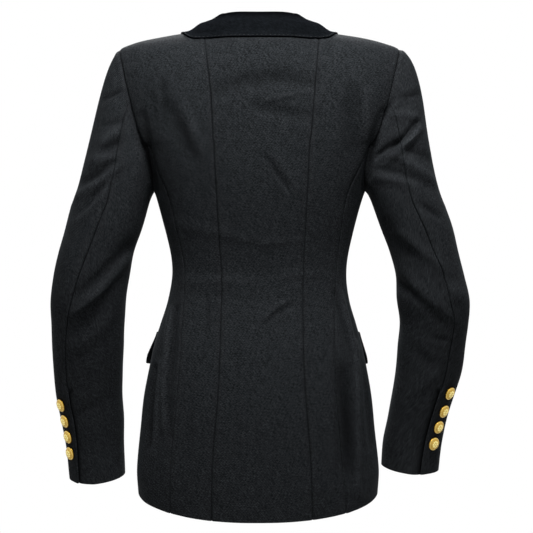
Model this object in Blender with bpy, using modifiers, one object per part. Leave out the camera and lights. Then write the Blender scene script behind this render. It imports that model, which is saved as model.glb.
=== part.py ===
# A woman's fitted double-breasted jacket in wool twill, worn form with nobody in it.
# The garment's front faces -Y, the wearer's left is +X, and z = 0 is at the side of the neck.
from collections import namedtuple
from math import asin, atan2, cos, exp, hypot, pi, radians, sin

import bmesh
import bpy
from mathutils import Vector
from mathutils.bvhtree import BVHTree

# Cloth and seams
WALL = 0.0018            # wool cloth with its interlining
SEAM_GAP = 0.0004        # from a seam line to the cloth's edge on each side
SLEEVE_GAP = 0.0009      # the same on the sleeves, which turn more tightly
TOP_GAP = 0.0005         # the same along the shoulder seam and neckline
SECTION_POWER = 2.3      # roundness of the body's sections, 2 is an ellipse
SLEEVE_POWER = 2.1
SHOULDER_POWER = 2.6     # how squarely the chest and back turn over into the shoulder

# Heights of the body
HEM_BACK_Z = -0.675
HEM_SIDE_Z = -0.651
HEM_FRONT_Z = -0.668
YOKE_Z = -0.163          # where the side seams run into the armhole
UNDERARM_Z = -0.222
BREAK_Z = -0.270         # where the lapels start to turn back
BICEP_Z = -0.245         # lower end of the sleeve head

# Double-breasted front
OVERLAP = 0.078          # front edge past the centre line
NECK_X = 0.070           # roll line at the side of the neck
LIFT_OVER_FRONT = 0.0030     # right front over the left one
LIFT_OVER_LAPEL = 0.0038     # and once more over the left lapel
LAPEL_LIFT_Z = (-0.325, -0.280)  # where that second lift starts and is complete
LIFT_FADE_SHARE = 0.16       # share of the front over which the lift runs out towards the side
LIFT_FADE_Z = (-0.105, -0.055)   # and the heights over which it runs out towards the neck
LAPEL_OUT = 0.0011
COLLAR_OUT = 0.0014
FLAP_OUT = (0.0009, 0.0046)  # pocket flap's top edge and lower edge off the body

# Rows and columns of the sheets
BODY_ROWS = 19
SLEEVE_ROWS = 13
BACK_SIDE_COLUMNS = 6
RISES = (0.0, 0.20, 0.43, 0.62, 0.78, 0.90, 0.965, 0.992, 1.0)  # rows from the yoke to the shoulder
CENTRE_STEPS = (0.0, 0.26, 0.50, 0.70, 0.84, 0.925, 1.0)  # closer together round the neck
FRONT_STEPS = (0.0, 0.10, 0.21, 0.32, 0.43, 0.54, 0.65, 0.75, 0.84, 0.92, 1.0)
SIDE_COLUMNS = 7
LAPEL_ROWS, LAPEL_COLUMNS = 13, 7
FLAP_ROWS, FLAP_COLUMNS = 4, 9
COLLAR_COUNT = 23        # sections of the collar from one front end to the other
CAP_STEPS = (0.0, 0.08, 0.18, 0.30, 0.44, 0.60, 0.80, 1.0)

# One row for each section of the body, from the hem up: half width, and depth to back and front.
Section = namedtuple("Section", "z half_width back front")
BODY_SECTIONS = [
    Section(-0.680, 0.1655, 0.116, 0.107),
    Section(-0.645, 0.1695, 0.116, 0.107),
    Section(-0.615, 0.1710, 0.115, 0.106),
    Section(-0.550, 0.1650, 0.111, 0.104),
    Section(-0.498, 0.1585, 0.105, 0.102),
    Section(-0.450, 0.1490, 0.096, 0.098),
    Section(-0.413, 0.1385, 0.086, 0.094),
    Section(-0.379, 0.1285, 0.078, 0.0915),
    Section(-0.345, 0.1237, 0.075, 0.091),
    Section(-0.310, 0.1265, 0.079, 0.096),
    Section(-0.260, 0.1390, 0.088, 0.109),
    Section(-0.222, 0.1500, 0.094, 0.115),
    Section(-0.190, 0.1630, 0.097, 0.115),
    Section(-0.160, 0.1760, 0.098, 0.112),
]

# Seam lines of the body: distance from the centre line at each height.
SeamLine = namedtuple("SeamLine", "z princess side_back side_front")
BODY_SEAMS = [
    SeamLine(-0.680, 0.0685, 0.1200, 0.1260),
    SeamLine(-0.600, 0.0670, 0.1180, 0.1240),
    SeamLine(-0.520, 0.0610, 0.1110, 0.1180),
    SeamLine(-0.450, 0.0565, 0.1060, 0.1100),
    SeamLine(-0.413, 0.0560, 0.1055, 0.1040),
    SeamLine(-0.345, 0.0555, 0.1035, 0.0980),
    SeamLine(-0.295, 0.0568, 0.1075, 0.1040),
    SeamLine(-0.250, 0.0590, 0.1140, 0.1130),
    SeamLine(-0.222, 0.0605, 0.1220, 0.1220),
    SeamLine(-0.190, 0.0620, 0.1400, 0.1370),
    SeamLine(-0.163, 0.0635, 0.1580, 0.1490),
]

# Neckline from the centre to the side of the neck, and shoulder seam from there to its tip.
NeckPoint = namedtuple("NeckPoint", "x back_y front_y z")
NECKLINE = [
    NeckPoint(0.000, 0.0520, -0.046, -0.0040),
    NeckPoint(0.040, 0.0440, -0.032, -0.0038),
    NeckPoint(0.060, 0.0250, -0.016, -0.0040),
    NeckPoint(0.072, 0.0000, 0.000, 0.0010),
]
ShoulderPoint = namedtuple("ShoulderPoint", "x z")
SHOULDER_SEAM = [
    ShoulderPoint(0.072, 0.0010),
    ShoulderPoint(0.115, -0.0040),
    ShoulderPoint(0.160, -0.0120),
    ShoulderPoint(0.1875, -0.0200),
    ShoulderPoint(0.197, -0.0250),
]
PRINCESS_TOP_X = 0.0775

SHOULDER_SWING = 0.72    # how early the columns run in from the yoke to the shoulder seam
ARMHOLE_TURN = 0.6       # how far the cloth turns outwards at the yoke's ends

# The wearer's two sleeves hang a little differently: outer and inner edge, and mid-depth.
SleeveRow = namedtuple("SleeveRow", "z outer inner middle_y half_depth back_seam")
SLEEVE_L = [
    SleeveRow(-0.245, 0.2665, 0.1575, 0.001, 0.062, -2),
    SleeveRow(-0.277, 0.2744, 0.1666, 0.002, 0.061, 2),
    SleeveRow(-0.311, 0.2844, 0.1780, 0.001, 0.060, 4.5),
    SleeveRow(-0.345, 0.2917, 0.1838, 0.000, 0.059, 11.5),
    SleeveRow(-0.379, 0.2963, 0.1897, -0.002, 0.057, 18),
    SleeveRow(-0.414, 0.2962, 0.1934, -0.011, 0.055, 26),
    SleeveRow(-0.448, 0.2961, 0.1943, -0.019, 0.053, 30.5),
    SleeveRow(-0.484, 0.2959, 0.1966, -0.028, 0.051, 30.5),
    SleeveRow(-0.519, 0.2928, 0.1989, -0.036, 0.049, 29),
    SleeveRow(-0.554, 0.2867, 0.1968, -0.044, 0.047, 28.5),
    SleeveRow(-0.590, 0.2818, 0.1974, -0.050, 0.045, 30),
    SleeveRow(-0.640, 0.2765, 0.1962, -0.056, 0.044, 35),
]
SLEEVE_R = [
    SleeveRow(-0.245, 0.2625, 0.1610, 0.001, 0.061, 0),
    SleeveRow(-0.277, 0.2732, 0.1724, 0.002, 0.060, 4),
    SleeveRow(-0.311, 0.2817, 0.1852, 0.001, 0.058, 8),
    SleeveRow(-0.345, 0.2904, 0.1939, 0.000, 0.057, 15),
    SleeveRow(-0.379, 0.2978, 0.1955, -0.002, 0.056, 19.5),
    SleeveRow(-0.414, 0.2976, 0.2006, -0.011, 0.054, 26),
    SleeveRow(-0.448, 0.2946, 0.1985, -0.019, 0.052, 24.5),
    SleeveRow(-0.484, 0.2900, 0.1964, -0.028, 0.050, 22),
    SleeveRow(-0.519, 0.2796, 0.1914, -0.036, 0.048, 21),
    SleeveRow(-0.554, 0.2705, 0.1863, -0.044, 0.046, 19),
    SleeveRow(-0.590, 0.2640, 0.1796, -0.050, 0.045, 18),
    SleeveRow(-0.640, 0.2590, 0.1770, -0.055, 0.044, 15),
]
FRONT_SEAM_ANGLE = 216.0
# Sleeve heads: how far the cloth leaves the shoulder before it turns down, and its spread below.
# It leaves outwards and down, by these amounts at the underarm and at the top of the shoulder.
HEAD_OUTWARD = (0.75, 1.0)
HEAD_DOWN = (-0.45, -0.10)
HEAD_ROUND = 0.12
HEAD_ARRIVE = 1.05
SleeveHead = namedtuple("SleeveHead", "leave spread")
HEAD_L = SleeveHead(0.42, 0.30)
HEAD_R = SleeveHead(0.58, 0.08)
# Height of each cuff's edge, with how far its back drops and its inner side rises.
CUFF_L = (-0.638, 0.005, 0.005)
CUFF_R = (-0.626, 0.003, 0.006)

# Largest folds, as lines on the garment seen from behind (+) or from the front (-).
# amount is the height of a ridge, or the depth of a trough below zero; width is its half width.
Fold = namedtuple("Fold", "face x0 z0 x1 z1 width amount")
SLEEVE_FOLDS = [
    Fold(1, 0.203, -0.150, 0.262, -0.245, 0.011, 0.0035),
    Fold(1, 0.209, -0.160, 0.222, -0.120, 0.012, -0.0030),
    Fold(1, 0.212, -0.358, 0.262, -0.392, 0.009, 0.0038),
    Fold(1, 0.204, -0.366, 0.252, -0.408, 0.007, -0.0032),
    Fold(1, -0.222, -0.124, -0.166, -0.172, 0.008, -0.0050),
    Fold(1, -0.232, -0.178, -0.200, -0.158, 0.009, 0.0042),
    Fold(1, -0.175, -0.268, -0.246, -0.330, 0.010, 0.0035),
    Fold(1, -0.196, -0.332, -0.236, -0.366, 0.008, -0.0035),
    Fold(1, -0.216, -0.358, -0.278, -0.406, 0.009, 0.0040),
    Fold(-1, 0.205, -0.350, 0.262, -0.362, 0.010, -0.0040),
    Fold(-1, 0.207, -0.318, 0.255, -0.330, 0.011, 0.0035),
    Fold(-1, -0.205, -0.346, -0.262, -0.358, 0.010, -0.0040),
    Fold(-1, -0.210, -0.316, -0.258, -0.322, 0.011, 0.0035),
]
BODY_FOLDS = [
    Fold(1, 0.045, -0.075, -0.050, -0.066, 0.016, -0.0028),
    Fold(1, 0.138, -0.100, 0.132, -0.180, 0.013, -0.0030),
    Fold(1, -0.136, -0.090, -0.134, -0.130, 0.012, -0.0028),
    Fold(1, -0.125, -0.470, -0.128, -0.620, 0.011, -0.0045),
    Fold(1, 0.134, -0.500, 0.138, -0.610, 0.012, -0.0025),
    Fold(-1, 0.070, -0.335, 0.110, -0.350, 0.012, -0.0025),
    Fold(-1, -0.070, -0.335, -0.110, -0.350, 0.012, -0.0025),
]

# Collar from the centre back round to its front end: neck seam, fold and outer edge.
CollarRow = namedtuple("CollarRow", "neck fold edge")
COLLAR_ROWS = [
    CollarRow((0.0000, 0.0510, -0.0030), (0.0000, 0.0500, 0.0190), (0.000, 0.0790, -0.0168)),
    CollarRow((0.0300, 0.0463, -0.0026), (0.0330, 0.0452, 0.0190), (0.042, 0.0765, -0.0168)),
    CollarRow((0.0520, 0.0330, -0.0030), (0.0505, 0.0300, 0.0184), (0.086, 0.0560, -0.0140)),
    CollarRow((0.0700, 0.0000, 0.0018), (0.0605, 0.0000, 0.0180), (0.108, 0.0080, 0.0005)),
    CollarRow((0.0660, -0.0370, -0.0050), (0.0640, -0.0380, 0.0065), (0.113, -0.0420, -0.0080)),
    CollarRow((0.0560, -0.0695, -0.0225), (0.0545, -0.0745, -0.0155), (0.113, -0.0710, -0.0310)),
    CollarRow((0.0425, -0.0890, -0.0465), (0.0420, -0.0955, -0.0430), (0.094, -0.0870, -0.0520)),
]
COLLAR_TURN = (0.0012, 0.0030)   # the fold's inner and outer side off its line
COLLAR_BELLY = 0.0022    # how far the fall swells above a straight line to its edge

# Outer edge of the lapel, mirrored to the side that it lies on, from its break up to its peak.
LapelPoint = namedtuple("LapelPoint", "z x")
LAPEL_EDGE = [
    LapelPoint(-0.262, -0.066),
    LapelPoint(-0.225, 0.006),
    LapelPoint(-0.175, 0.060),
    LapelPoint(-0.120, 0.096),
    LapelPoint(-0.046, 0.119),
]
LAPEL_TOP_Z = -0.0485     # where the lapel meets the collar on the roll line
LAPEL_NOTCH = (0.667, 0.0085)  # share across the lapel at the notch, and its drop there
LAPEL_NOTCH_START = 0.7   # share of the lapel's height where the notch starts to show
LAPEL_ROLL = 0.0010       # how much further out the lapel lies at its roll
LAPEL_FOOT = 0.014        # how far above the break its lower point sits
LAPEL_INSET = 0.0015      # from the roll line to the lapel's inner edge

# Buttons, turned to an outline given as shares of their radius
BUTTON_GAP = 0.0005
BUTTON_RIM = 0.0010
BUTTON_STEM, BUTTON_DOME, BUTTON_POST = 0.14, 0.32, 0.30
BUTTON_STEPS = 14
NEAR = 0.004             # step along the cloth to find which way a button faces
CUFF_BUTTON_RADIUS = 0.0094
FRONT_BUTTON_RADIUS = 0.0112
FRONT_BUTTON_X = 0.056
FRONT_BUTTON_HEIGHTS = (-0.292, -0.365, -0.438)
CuffButton = namedtuple("CuffButton", "z angle")
CUFF_BUTTONS_L = [CuffButton(-0.526, 49), CuffButton(-0.549, 48),
                  CuffButton(-0.572, 47), CuffButton(-0.596, 47)]
CUFF_BUTTONS_R = [CuffButton(-0.509, 42), CuffButton(-0.535, 41),
                  CuffButton(-0.558, 38), CuffButton(-0.582, 35)]

# Pocket flaps, from just in front of the side round towards the front
FLAP_TOP_Z = -0.424
FLAP_DEPTH = 0.046
FLAP_ANGLES = (91.0, 142.0)
FLAP_SLANT = 0.010        # the front end sits lower

CLOTH_COLOR = (0.0185, 0.0205, 0.0235, 1.0)
COLLAR_COLOR = (0.0120, 0.0130, 0.0150, 1.0)
GOLD_COLOR = (0.83, 0.55, 0.13, 1.0)


def at(table, z, column):
    """Smooth reading of one column of a table whose first column goes one way."""
    rows = table if table[0][0] < table[-1][0] else table[::-1]
    z = min(max(z, rows[0][0]), rows[-1][0])
    i = max(0, min(len(rows) - 2, sum(1 for row in rows if row[0] <= z) - 1))
    a, b = rows[i], rows[i + 1]
    span = b[0] - a[0]

    def slope(j):
        low, high = max(0, j - 1), min(len(rows) - 1, j + 1)
        rise = getattr(rows[high], column) - getattr(rows[low], column)
        return rise / (rows[high][0] - rows[low][0])

    t = (z - a[0]) / span
    return ((2 * t**3 - 3 * t**2 + 1) * getattr(a, column) + (t**3 - 2 * t**2 + t) * span * slope(i)
            + (3 * t**2 - 2 * t**3) * getattr(b, column) + (t**3 - t**2) * span * slope(i + 1))


def blend(a, b, t):
    return a + (b - a) * t


def ease(t):
    t = min(max(t, 0.0), 1.0)
    return t * t * (3 - 2 * t)


def ramp(value, low, high):
    return ease((value - low) / (high - low))


def fold_amount(folds, face, x, z):
    """Sum of the folds at a place, seen from behind or from the front."""
    total = 0.0
    for fold in folds:
        if fold.face * face <= 0:
            continue
        dx, dz = fold.x1 - fold.x0, fold.z1 - fold.z0
        t = ((x - fold.x0) * dx + (z - fold.z0) * dz) / (dx * dx + dz * dz)
        near = min(max(t, 0.0), 1.0)
        away = hypot(x - fold.x0 - near * dx, z - fold.z0 - near * dz)
        total += fold.amount * exp(-(away / fold.width) ** 2) * min(1.0, abs(face) * 1.6)
    return total


def section_angle(x, z):
    """Angle round the body, 0 at the back, of a place x from the centre line."""
    share = min(1.0, abs(x) / at(BODY_SECTIONS, z, "half_width"))
    return asin(share ** (SECTION_POWER / 2))


def round_body(angle, z, side=1, out=0.0):
    """Point of the body below the yoke; angle 0 is the back, 90 the side, 180 the front."""
    width = at(BODY_SECTIONS, z, "half_width")
    depth = at(BODY_SECTIONS, z, "back" if cos(angle) > 0 else "front")
    s, c = sin(angle), cos(angle)
    s_power = abs(s) ** (2 / SECTION_POWER) * (1 if s > 0 else -1)
    c_power = abs(c) ** (2 / SECTION_POWER) * (1 if c > 0 else -1)
    x, y = width * s_power, depth * c_power
    rise = 2 - 2 / SECTION_POWER
    normal = Vector((abs(s) ** rise / width * (1 if s > 0 else -1),
                     abs(c) ** rise / depth * (1 if c > 0 else -1), 0)).normalized()
    out += fold_amount(BODY_FOLDS, normal.y, side * x, z) * ease((YOKE_Z + 0.02 - z) / 0.02 + 1)
    point = Vector((x, y, z)) + normal * out
    return Vector((side * point.x, point.y, point.z))


def shoulder(face, share, rise, side=1, out=0.0):
    """Point of the back (face 1) or front (face -1) above the yoke.

    share runs from the centre line, 0, to the armhole, 1; rise from the yoke, 0, to the top, 1.
    """
    sign = -1 if share < 0 else 1
    share = abs(share)
    edge = at(BODY_SEAMS, YOKE_Z, "side_back" if face > 0 else "side_front")
    middle = at(BODY_SEAMS, YOKE_Z, "princess") / edge
    tip = SHOULDER_SEAM[-1].x
    low_x = share * edge
    if share < middle:
        top_x = PRINCESS_TOP_X * share / middle
    else:
        top_x = blend(PRINCESS_TOP_X, tip, (share - middle) / (1 - middle))
    angle = section_angle(low_x, YOKE_Z)
    low = round_body(angle if face > 0 else pi - angle, YOKE_Z)
    top_y, top_z = 0.0, at(SHOULDER_SEAM, top_x, "z")
    if top_x < NECKLINE[-1].x:
        top_y = at(NECKLINE, top_x, "back_y" if face > 0 else "front_y")
        top_z = at(NECKLINE, top_x, "z")
    lean = (1 - rise ** SHOULDER_POWER) ** (1 / SHOULDER_POWER)
    x = blend(low_x, top_x, rise ** SHOULDER_SWING)
    y = blend(top_y, low.y, lean)
    z = blend(YOKE_Z, top_z, rise)
    turn = atan2(rise ** (SHOULDER_POWER - 1), max(lean, 1e-6) ** (SHOULDER_POWER - 1))
    spread = ARMHOLE_TURN * share ** 3 * (1 - rise)
    normal = Vector((sign * spread, face * cos(turn), sin(turn))).normalized()
    fade = ease((1 - rise) / 0.25)
    out += fold_amount(BODY_FOLDS, face, side * sign * x, z) * fade
    point = Vector((sign * x, y, z)) + normal * out
    return Vector((side * point.x, point.y, point.z))


def roll_x(z):
    """The roll line of a lapel, mirrored to its own side."""
    return blend(-OVERLAP, NECK_X, (z - BREAK_Z) / (NECKLINE[-1].z - BREAK_Z))


def front_edge(z):
    return -OVERLAP if z <= BREAK_Z else roll_x(z)


def front_point(share, z, side, out=0.0):
    """Point of a front below the yoke; share is x over the side-front seam's x."""
    x = share * at(BODY_SEAMS, z, "side_front")
    angle = section_angle(x, z)
    return round_body(pi - angle, z, side if share >= 0 else -side, out)


def front_lift(share, z, side):
    """How far the wearer's right front is carried out over the left one."""
    if side > 0:
        return 0.0
    over = LIFT_OVER_FRONT + LIFT_OVER_LAPEL * ramp(z, *LAPEL_LIFT_Z)
    return over * ease((1 - share) / LIFT_FADE_SHARE) * (1 - ramp(z, *LIFT_FADE_Z))


def body_levels(low, high, count):
    return [blend(low, high, i / (count - 1)) for i in range(count)]


def material(name, color, roughness, metallic=0.0):
    made = bpy.data.materials.new(name)
    made.use_nodes = True
    shader = made.node_tree.nodes["Principled BSDF"]
    shader.inputs["Base Color"].default_value = color
    shader.inputs["Roughness"].default_value = roughness
    shader.inputs["Metallic"].default_value = metallic
    return made


def add_object(name, mesh, made):
    piece = bpy.data.objects.new(name, mesh)
    mesh.materials.clear()
    mesh.materials.append(made)
    JACKET.objects.link(piece)
    return piece


def cloth(name, rows, made, outward=1, thick_out=False):
    """A piece of cloth: a sheet through rows of points, given its wall by Solidify."""
    mesh = bpy.data.meshes.new(name)
    bm = bmesh.new()
    grid = [[bm.verts.new(point) for point in row] for row in rows]
    for low, high in zip(grid, grid[1:]):
        for i in range(len(low) - 1):
            corners = [low[i], low[i + 1], high[i + 1], high[i]]
            bm.faces.new(corners if outward > 0 else corners[::-1])
    bm.to_mesh(mesh)
    bm.free()
    mesh.shade_smooth()
    SHEETS[name] = BVHTree.FromPolygons([vert.co.copy() for vert in mesh.vertices],
                                        [list(face.vertices) for face in mesh.polygons])
    piece = add_object(name, mesh, made)
    wall = piece.modifiers.new("Wall", "SOLIDIFY")
    wall.thickness = WALL
    wall.offset = 1.0 if thick_out else -1.0
    return piece


def inset(row, first=True, last=True, gap=SEAM_GAP):
    """Draws the ends of a row of points back from the seam lines."""
    row = [Vector(point) for point in row]
    a, b = row[0].copy(), row[-1].copy()
    if first:
        row[0] = a + (row[1] - a).normalized() * gap
    if last:
        row[-1] = b + (row[-2] - b).normalized() * gap
    return row


def trimmed(rows, top=True):
    """A grid drawn back from its seams on both sides, and along its top where it has a seam."""
    rows = [inset(row) for row in rows]
    if top:
        columns = [inset(column, first=False, gap=TOP_GAP) for column in zip(*rows)]
        rows = [list(row) for row in zip(*columns)]
    return rows


def hem_z(angle):
    """Height of the hem round the body."""
    end = HEM_BACK_Z if cos(angle) > 0 else HEM_FRONT_Z
    return blend(HEM_SIDE_Z, end, abs(cos(angle)) ** 1.4)


def body_column(x_at, face, side):
    """A column of the body from the hem to the yoke at the distance x_at(z) from the centre."""
    start = hem_z(section_angle(x_at(HEM_BACK_Z), HEM_BACK_Z) if face > 0
                  else pi - section_angle(x_at(HEM_FRONT_Z), HEM_FRONT_Z))
    points = []
    for z in body_levels(start, YOKE_Z, BODY_ROWS):
        angle = section_angle(x_at(z), z)
        sign = 1 if x_at(z) >= 0 else -1
        points.append(round_body(angle if face > 0 else pi - angle, z, side * sign))
    return points


def seam_x(name):
    return lambda z: at(BODY_SEAMS, z, name)


def between(first, second, t):
    return lambda z: blend(first(z), second(z), t)


def back_grid(shares, side):
    """Columns of the back at shares of the way across, as rows from the hem to the shoulder."""
    edge = at(BODY_SEAMS, YOKE_Z, "side_back")
    middle = at(BODY_SEAMS, YOKE_Z, "princess") / edge
    princess, side_back = seam_x("princess"), seam_x("side_back")
    columns = []
    for share in shares:
        if abs(share) <= middle:
            column_x = between(lambda z: 0.0, princess, share / middle)
        else:
            column_x = between(princess, side_back, (share - middle) / (1 - middle))
        column = body_column(column_x, 1, side)
        column += [shoulder(1, share, rise, side) for rise in RISES[1:]]
        columns.append(column)
    return [list(row) for row in zip(*columns)]


def princess_share():
    return at(BODY_SEAMS, YOKE_Z, "princess") / at(BODY_SEAMS, YOKE_Z, "side_back")


def roll_share(rise):
    """The share of the front at which a row above the yoke meets the roll line."""
    low, high = -0.6, 0.9
    for _ in range(40):
        middle = (low + high) / 2
        point = shoulder(-1, middle, rise)
        if point.x < roll_x(point.z):
            low = middle
        else:
            high = middle
    return low


def front_rows(side):
    """A front from its edge and roll line to the side-front seam and armhole."""
    rows = []
    for row in range(BODY_ROWS):
        part = row / (BODY_ROWS - 1)
        points = []
        for step in FRONT_STEPS:
            hem = hem_z(pi - section_angle(step * at(BODY_SEAMS, HEM_FRONT_Z, "side_front"),
                                           HEM_FRONT_Z))
            z = blend(hem, YOKE_Z, part)
            share = blend(front_edge(z) / at(BODY_SEAMS, z, "side_front"), 1.0, step)
            points.append(front_point(share, z, side, front_lift(share, z, side)))
        rows.append(points)
    for rise in RISES[1:]:
        start = roll_share(rise)
        points = []
        for step in FRONT_STEPS:
            share = blend(start, 1.0, step)
            z = shoulder(-1, share, rise).z
            points.append(shoulder(-1, share, rise, side, front_lift(share, z, side)))
        rows.append(points)
    return rows


def side_rows(side):
    """A side panel between the side-back and side-front seams, up to the armhole."""
    columns = []
    for i in range(SIDE_COLUMNS):
        t = i / (SIDE_COLUMNS - 1)
        top = blend(UNDERARM_Z, YOKE_Z, abs(2 * t - 1) ** 2.4)
        start = hem_z(blend(section_angle(at(BODY_SEAMS, HEM_SIDE_Z, "side_back"), HEM_SIDE_Z),
                            pi - section_angle(at(BODY_SEAMS, HEM_SIDE_Z, "side_front"),
                                               HEM_SIDE_Z), t))
        if i == 0:
            start = body_column(seam_x("side_back"), 1, side)[0].z
        if i == SIDE_COLUMNS - 1:
            start = front_rows(side)[0][-1].z
        column = []
        for z in body_levels(start, top, BODY_ROWS):
            back = section_angle(at(BODY_SEAMS, z, "side_back"), z)
            front = pi - section_angle(at(BODY_SEAMS, z, "side_front"), z)
            column.append(round_body(blend(back, front, t), z, side))
        columns.append(column)
    return [list(row) for row in zip(*columns)]


def sleeve_ring(table, cuff, angle, z, side, out=0.0):
    """Point of a sleeve; angle 0 is its back, 90 its outer side, 180 its front."""
    outer, inner = at(table, z, "outer"), at(table, z, "inner")
    half_width, half_depth = (outer - inner) / 2, at(table, z, "half_depth")
    s, c = sin(angle), cos(angle)
    power = 2 / SLEEVE_POWER
    x = half_width * abs(s) ** power * (1 if s > 0 else -1)
    y = half_depth * abs(c) ** power * (1 if c > 0 else -1)
    centre_x, centre_y = (outer + inner) / 2, at(table, z, "middle_y")
    normal = Vector((s / half_width, c / half_depth, 0)).normalized()
    level, drop, lift = cuff
    near_cuff = ease((BICEP_Z - z) / (BICEP_Z - level))
    tilt = near_cuff * (lift * max(0.0, -s) - drop * max(0.0, c))
    out += fold_amount(SLEEVE_FOLDS, normal.y, side * (centre_x + x), z)
    point = Vector((centre_x + x, centre_y + y, z + tilt)) + normal * out
    return Vector((side * point.x, point.y, point.z))


def lengths(points):
    total, made = 0.0, [0.0]
    for a, b in zip(points, points[1:]):
        total += (b - a).length
        made.append(total)
    return [length / total for length in made]


def armhole_runs(back, front, under):
    """The armhole's points as an upper run (back, tip, front) and an under run (front to back)."""
    seam_back, seam_front = 2, 1    # rows above the yoke where the sleeve's seams start
    back_edge = [row[-1] for row in back[BODY_ROWS - 1:]]
    front_edge_points = [row[-1] for row in front[BODY_ROWS - 1:]]
    low = under[-1]
    upper_back = back_edge[seam_back:]
    upper_front = front_edge_points[seam_front:-1][::-1]
    lower = front_edge_points[:seam_front + 1][::-1] + low[1:-1][::-1] + back_edge[:seam_back + 1]
    return upper_back, upper_front, lower


def hermite(a, leave, b, arrive, t):
    return (a * (2 * t**3 - 3 * t**2 + 1) + leave * (t**3 - 2 * t**2 + t)
            + b * (3 * t**2 - 2 * t**3) + arrive * (t**3 - t**2))


def sleeve_rows(starts, fractions, table, cuff, head, side, span):
    """Rows of a sleeve piece from the armhole to the cuff.

    starts are the armhole's points, fractions their places between the piece's two seams,
    and span(z) gives the angles of those seams.
    """
    rows = []
    first, last = span(BICEP_Z)
    bottoms = [blend(first, last, fraction) for fraction in fractions]
    for t in CAP_STEPS:
        row = []
        for start, angle in zip(starts, bottoms):
            end = sleeve_ring(table, cuff, angle, BICEP_Z, side)
            below = sleeve_ring(table, cuff, angle, BICEP_Z - 0.02, side)
            reach = (end - start).length
            up = max(0.0, sin(angle))
            leave = Vector((side * blend(*HEAD_OUTWARD, up), HEAD_ROUND * cos(angle),
                            blend(*HEAD_DOWN, up))).normalized() * reach * head.leave
            arrive = (below - end).normalized() + Vector((side * head.spread * up, 0, 0))
            arrive = arrive.normalized() * reach * HEAD_ARRIVE
            point = hermite(start, leave, end, arrive, t)
            swell = fold_amount(SLEEVE_FOLDS, cos(angle), point.x, point.z) * ease(t / 0.3)
            swell *= ease((1.2 - t) / 0.2)
            if t == CAP_STEPS[-1]:
                swell = 0.0
            outward = Vector((side * sin(angle), cos(angle), 0))
            row.append(point + outward * swell)
        rows.append(row)
    for z in body_levels(BICEP_Z, cuff[0], SLEEVE_ROWS)[1:]:
        first, last = span(z)
        rows.append([sleeve_ring(table, cuff, blend(first, last, fraction), z, side)
                     for fraction in fractions])
    columns = [inset(column, last=False, gap=SLEEVE_GAP) for column in zip(*rows)]
    return [inset(row, gap=SLEEVE_GAP) for row in zip(*columns)]


def add_sleeve(name, side, table, cuff, head, back, front, under):
    upper_back, upper_front, lower = armhole_runs(back, front, under)

    def back_angle(z):
        return radians(at(table, z, "back_seam"))

    front_angle = radians(FRONT_SEAM_ANGLE)
    first = back_angle(BICEP_Z)
    top = (pi / 2 - first) / (front_angle - first)
    back_part = [top * t for t in lengths(upper_back)]
    front_part = [blend(top, 1.0, t) for t in lengths([upper_back[-1]] + upper_front)[1:]]
    upper = sleeve_rows(upper_back + upper_front, back_part + front_part, table, cuff, head, side,
                        lambda z: (back_angle(z), front_angle))
    lower_rows = sleeve_rows(lower, lengths(lower), table, cuff, head, side,
                             lambda z: (front_angle, 2 * pi + back_angle(z)))
    cloth("sleeve_upper_" + name, upper, WOOL, side)
    cloth("sleeve_under_" + name, lower_rows, WOOL, side)


def add_lapel(name, side):
    """A peaked lapel that lies on its front, from the roll line to its outer edge."""
    rows = []
    notch_share, drop = LAPEL_NOTCH
    for i in range(LAPEL_ROWS):
        t = i / (LAPEL_ROWS - 1)
        inner_z = blend(BREAK_Z + LAPEL_FOOT, LAPEL_TOP_Z, t)
        outer_z = blend(LAPEL_EDGE[0].z, LAPEL_EDGE[-1].z, t)
        inner_x, outer_x = roll_x(inner_z) + LAPEL_INSET, at(LAPEL_EDGE, outer_z, "x")
        row = []
        for j in range(LAPEL_COLUMNS):
            s = j / (LAPEL_COLUMNS - 1)
            x = blend(inner_x, outer_x, s)
            dip = min(s / notch_share, (1 - s) / (1 - notch_share)) * ramp(t, LAPEL_NOTCH_START, 1)
            z = blend(inner_z, outer_z, s) - drop * dip
            row.append(on_front(x, z, side, LAPEL_OUT + LAPEL_ROLL * (1 - s) ** 2))
        rows.append(row)
    cloth(name, rows, WOOL_DARK, side, thick_out=True)


def on_front(x, z, side, out):
    """Point of a front's outer face at x on its own side and height z, moved out."""
    if z <= YOKE_Z:
        share = x / at(BODY_SEAMS, z, "side_front")
        return front_point(share, z, side, front_lift(share, z, side) + out)
    low, high = 0.0, 1.0
    share = x / at(BODY_SEAMS, YOKE_Z, "side_front")
    for _ in range(30):
        rise = (low + high) / 2
        point = shoulder(-1, share, rise)
        share += (x - point.x) / 0.17
        if point.z < z:
            low = rise
        else:
            high = rise
    return shoulder(-1, share, rise, side, front_lift(share, z, side) + out)


def shoulder_surface():
    """The shoulders as one smooth sheet, to lay the collar on."""
    points, faces = [], []
    steps = 24    # fine enough that the collar lies on the true curve
    for face in (1, -1):
        start = len(points)
        for i in range(2 * steps + 1):
            for j in range(steps + 1):
                rise = sin(pi / 2 * j / steps)
                points.append(shoulder(face, i / steps - 1, rise))
        for i in range(2 * steps):
            for j in range(steps):
                a = start + i * (steps + 1) + j
                quad = (a, a + 1, a + steps + 2, a + steps + 1)
                faces.append(quad if face > 0 else quad[::-1])
    return BVHTree.FromPolygons(points, faces)


def laid_on(surface, point, gap):
    """A point moved out where it is nearer to the surface than the gap."""
    place, normal, _, _ = surface.find_nearest(point)
    short = gap - (point - place).dot(normal)
    return point + normal * short if short > 0 else point


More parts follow.
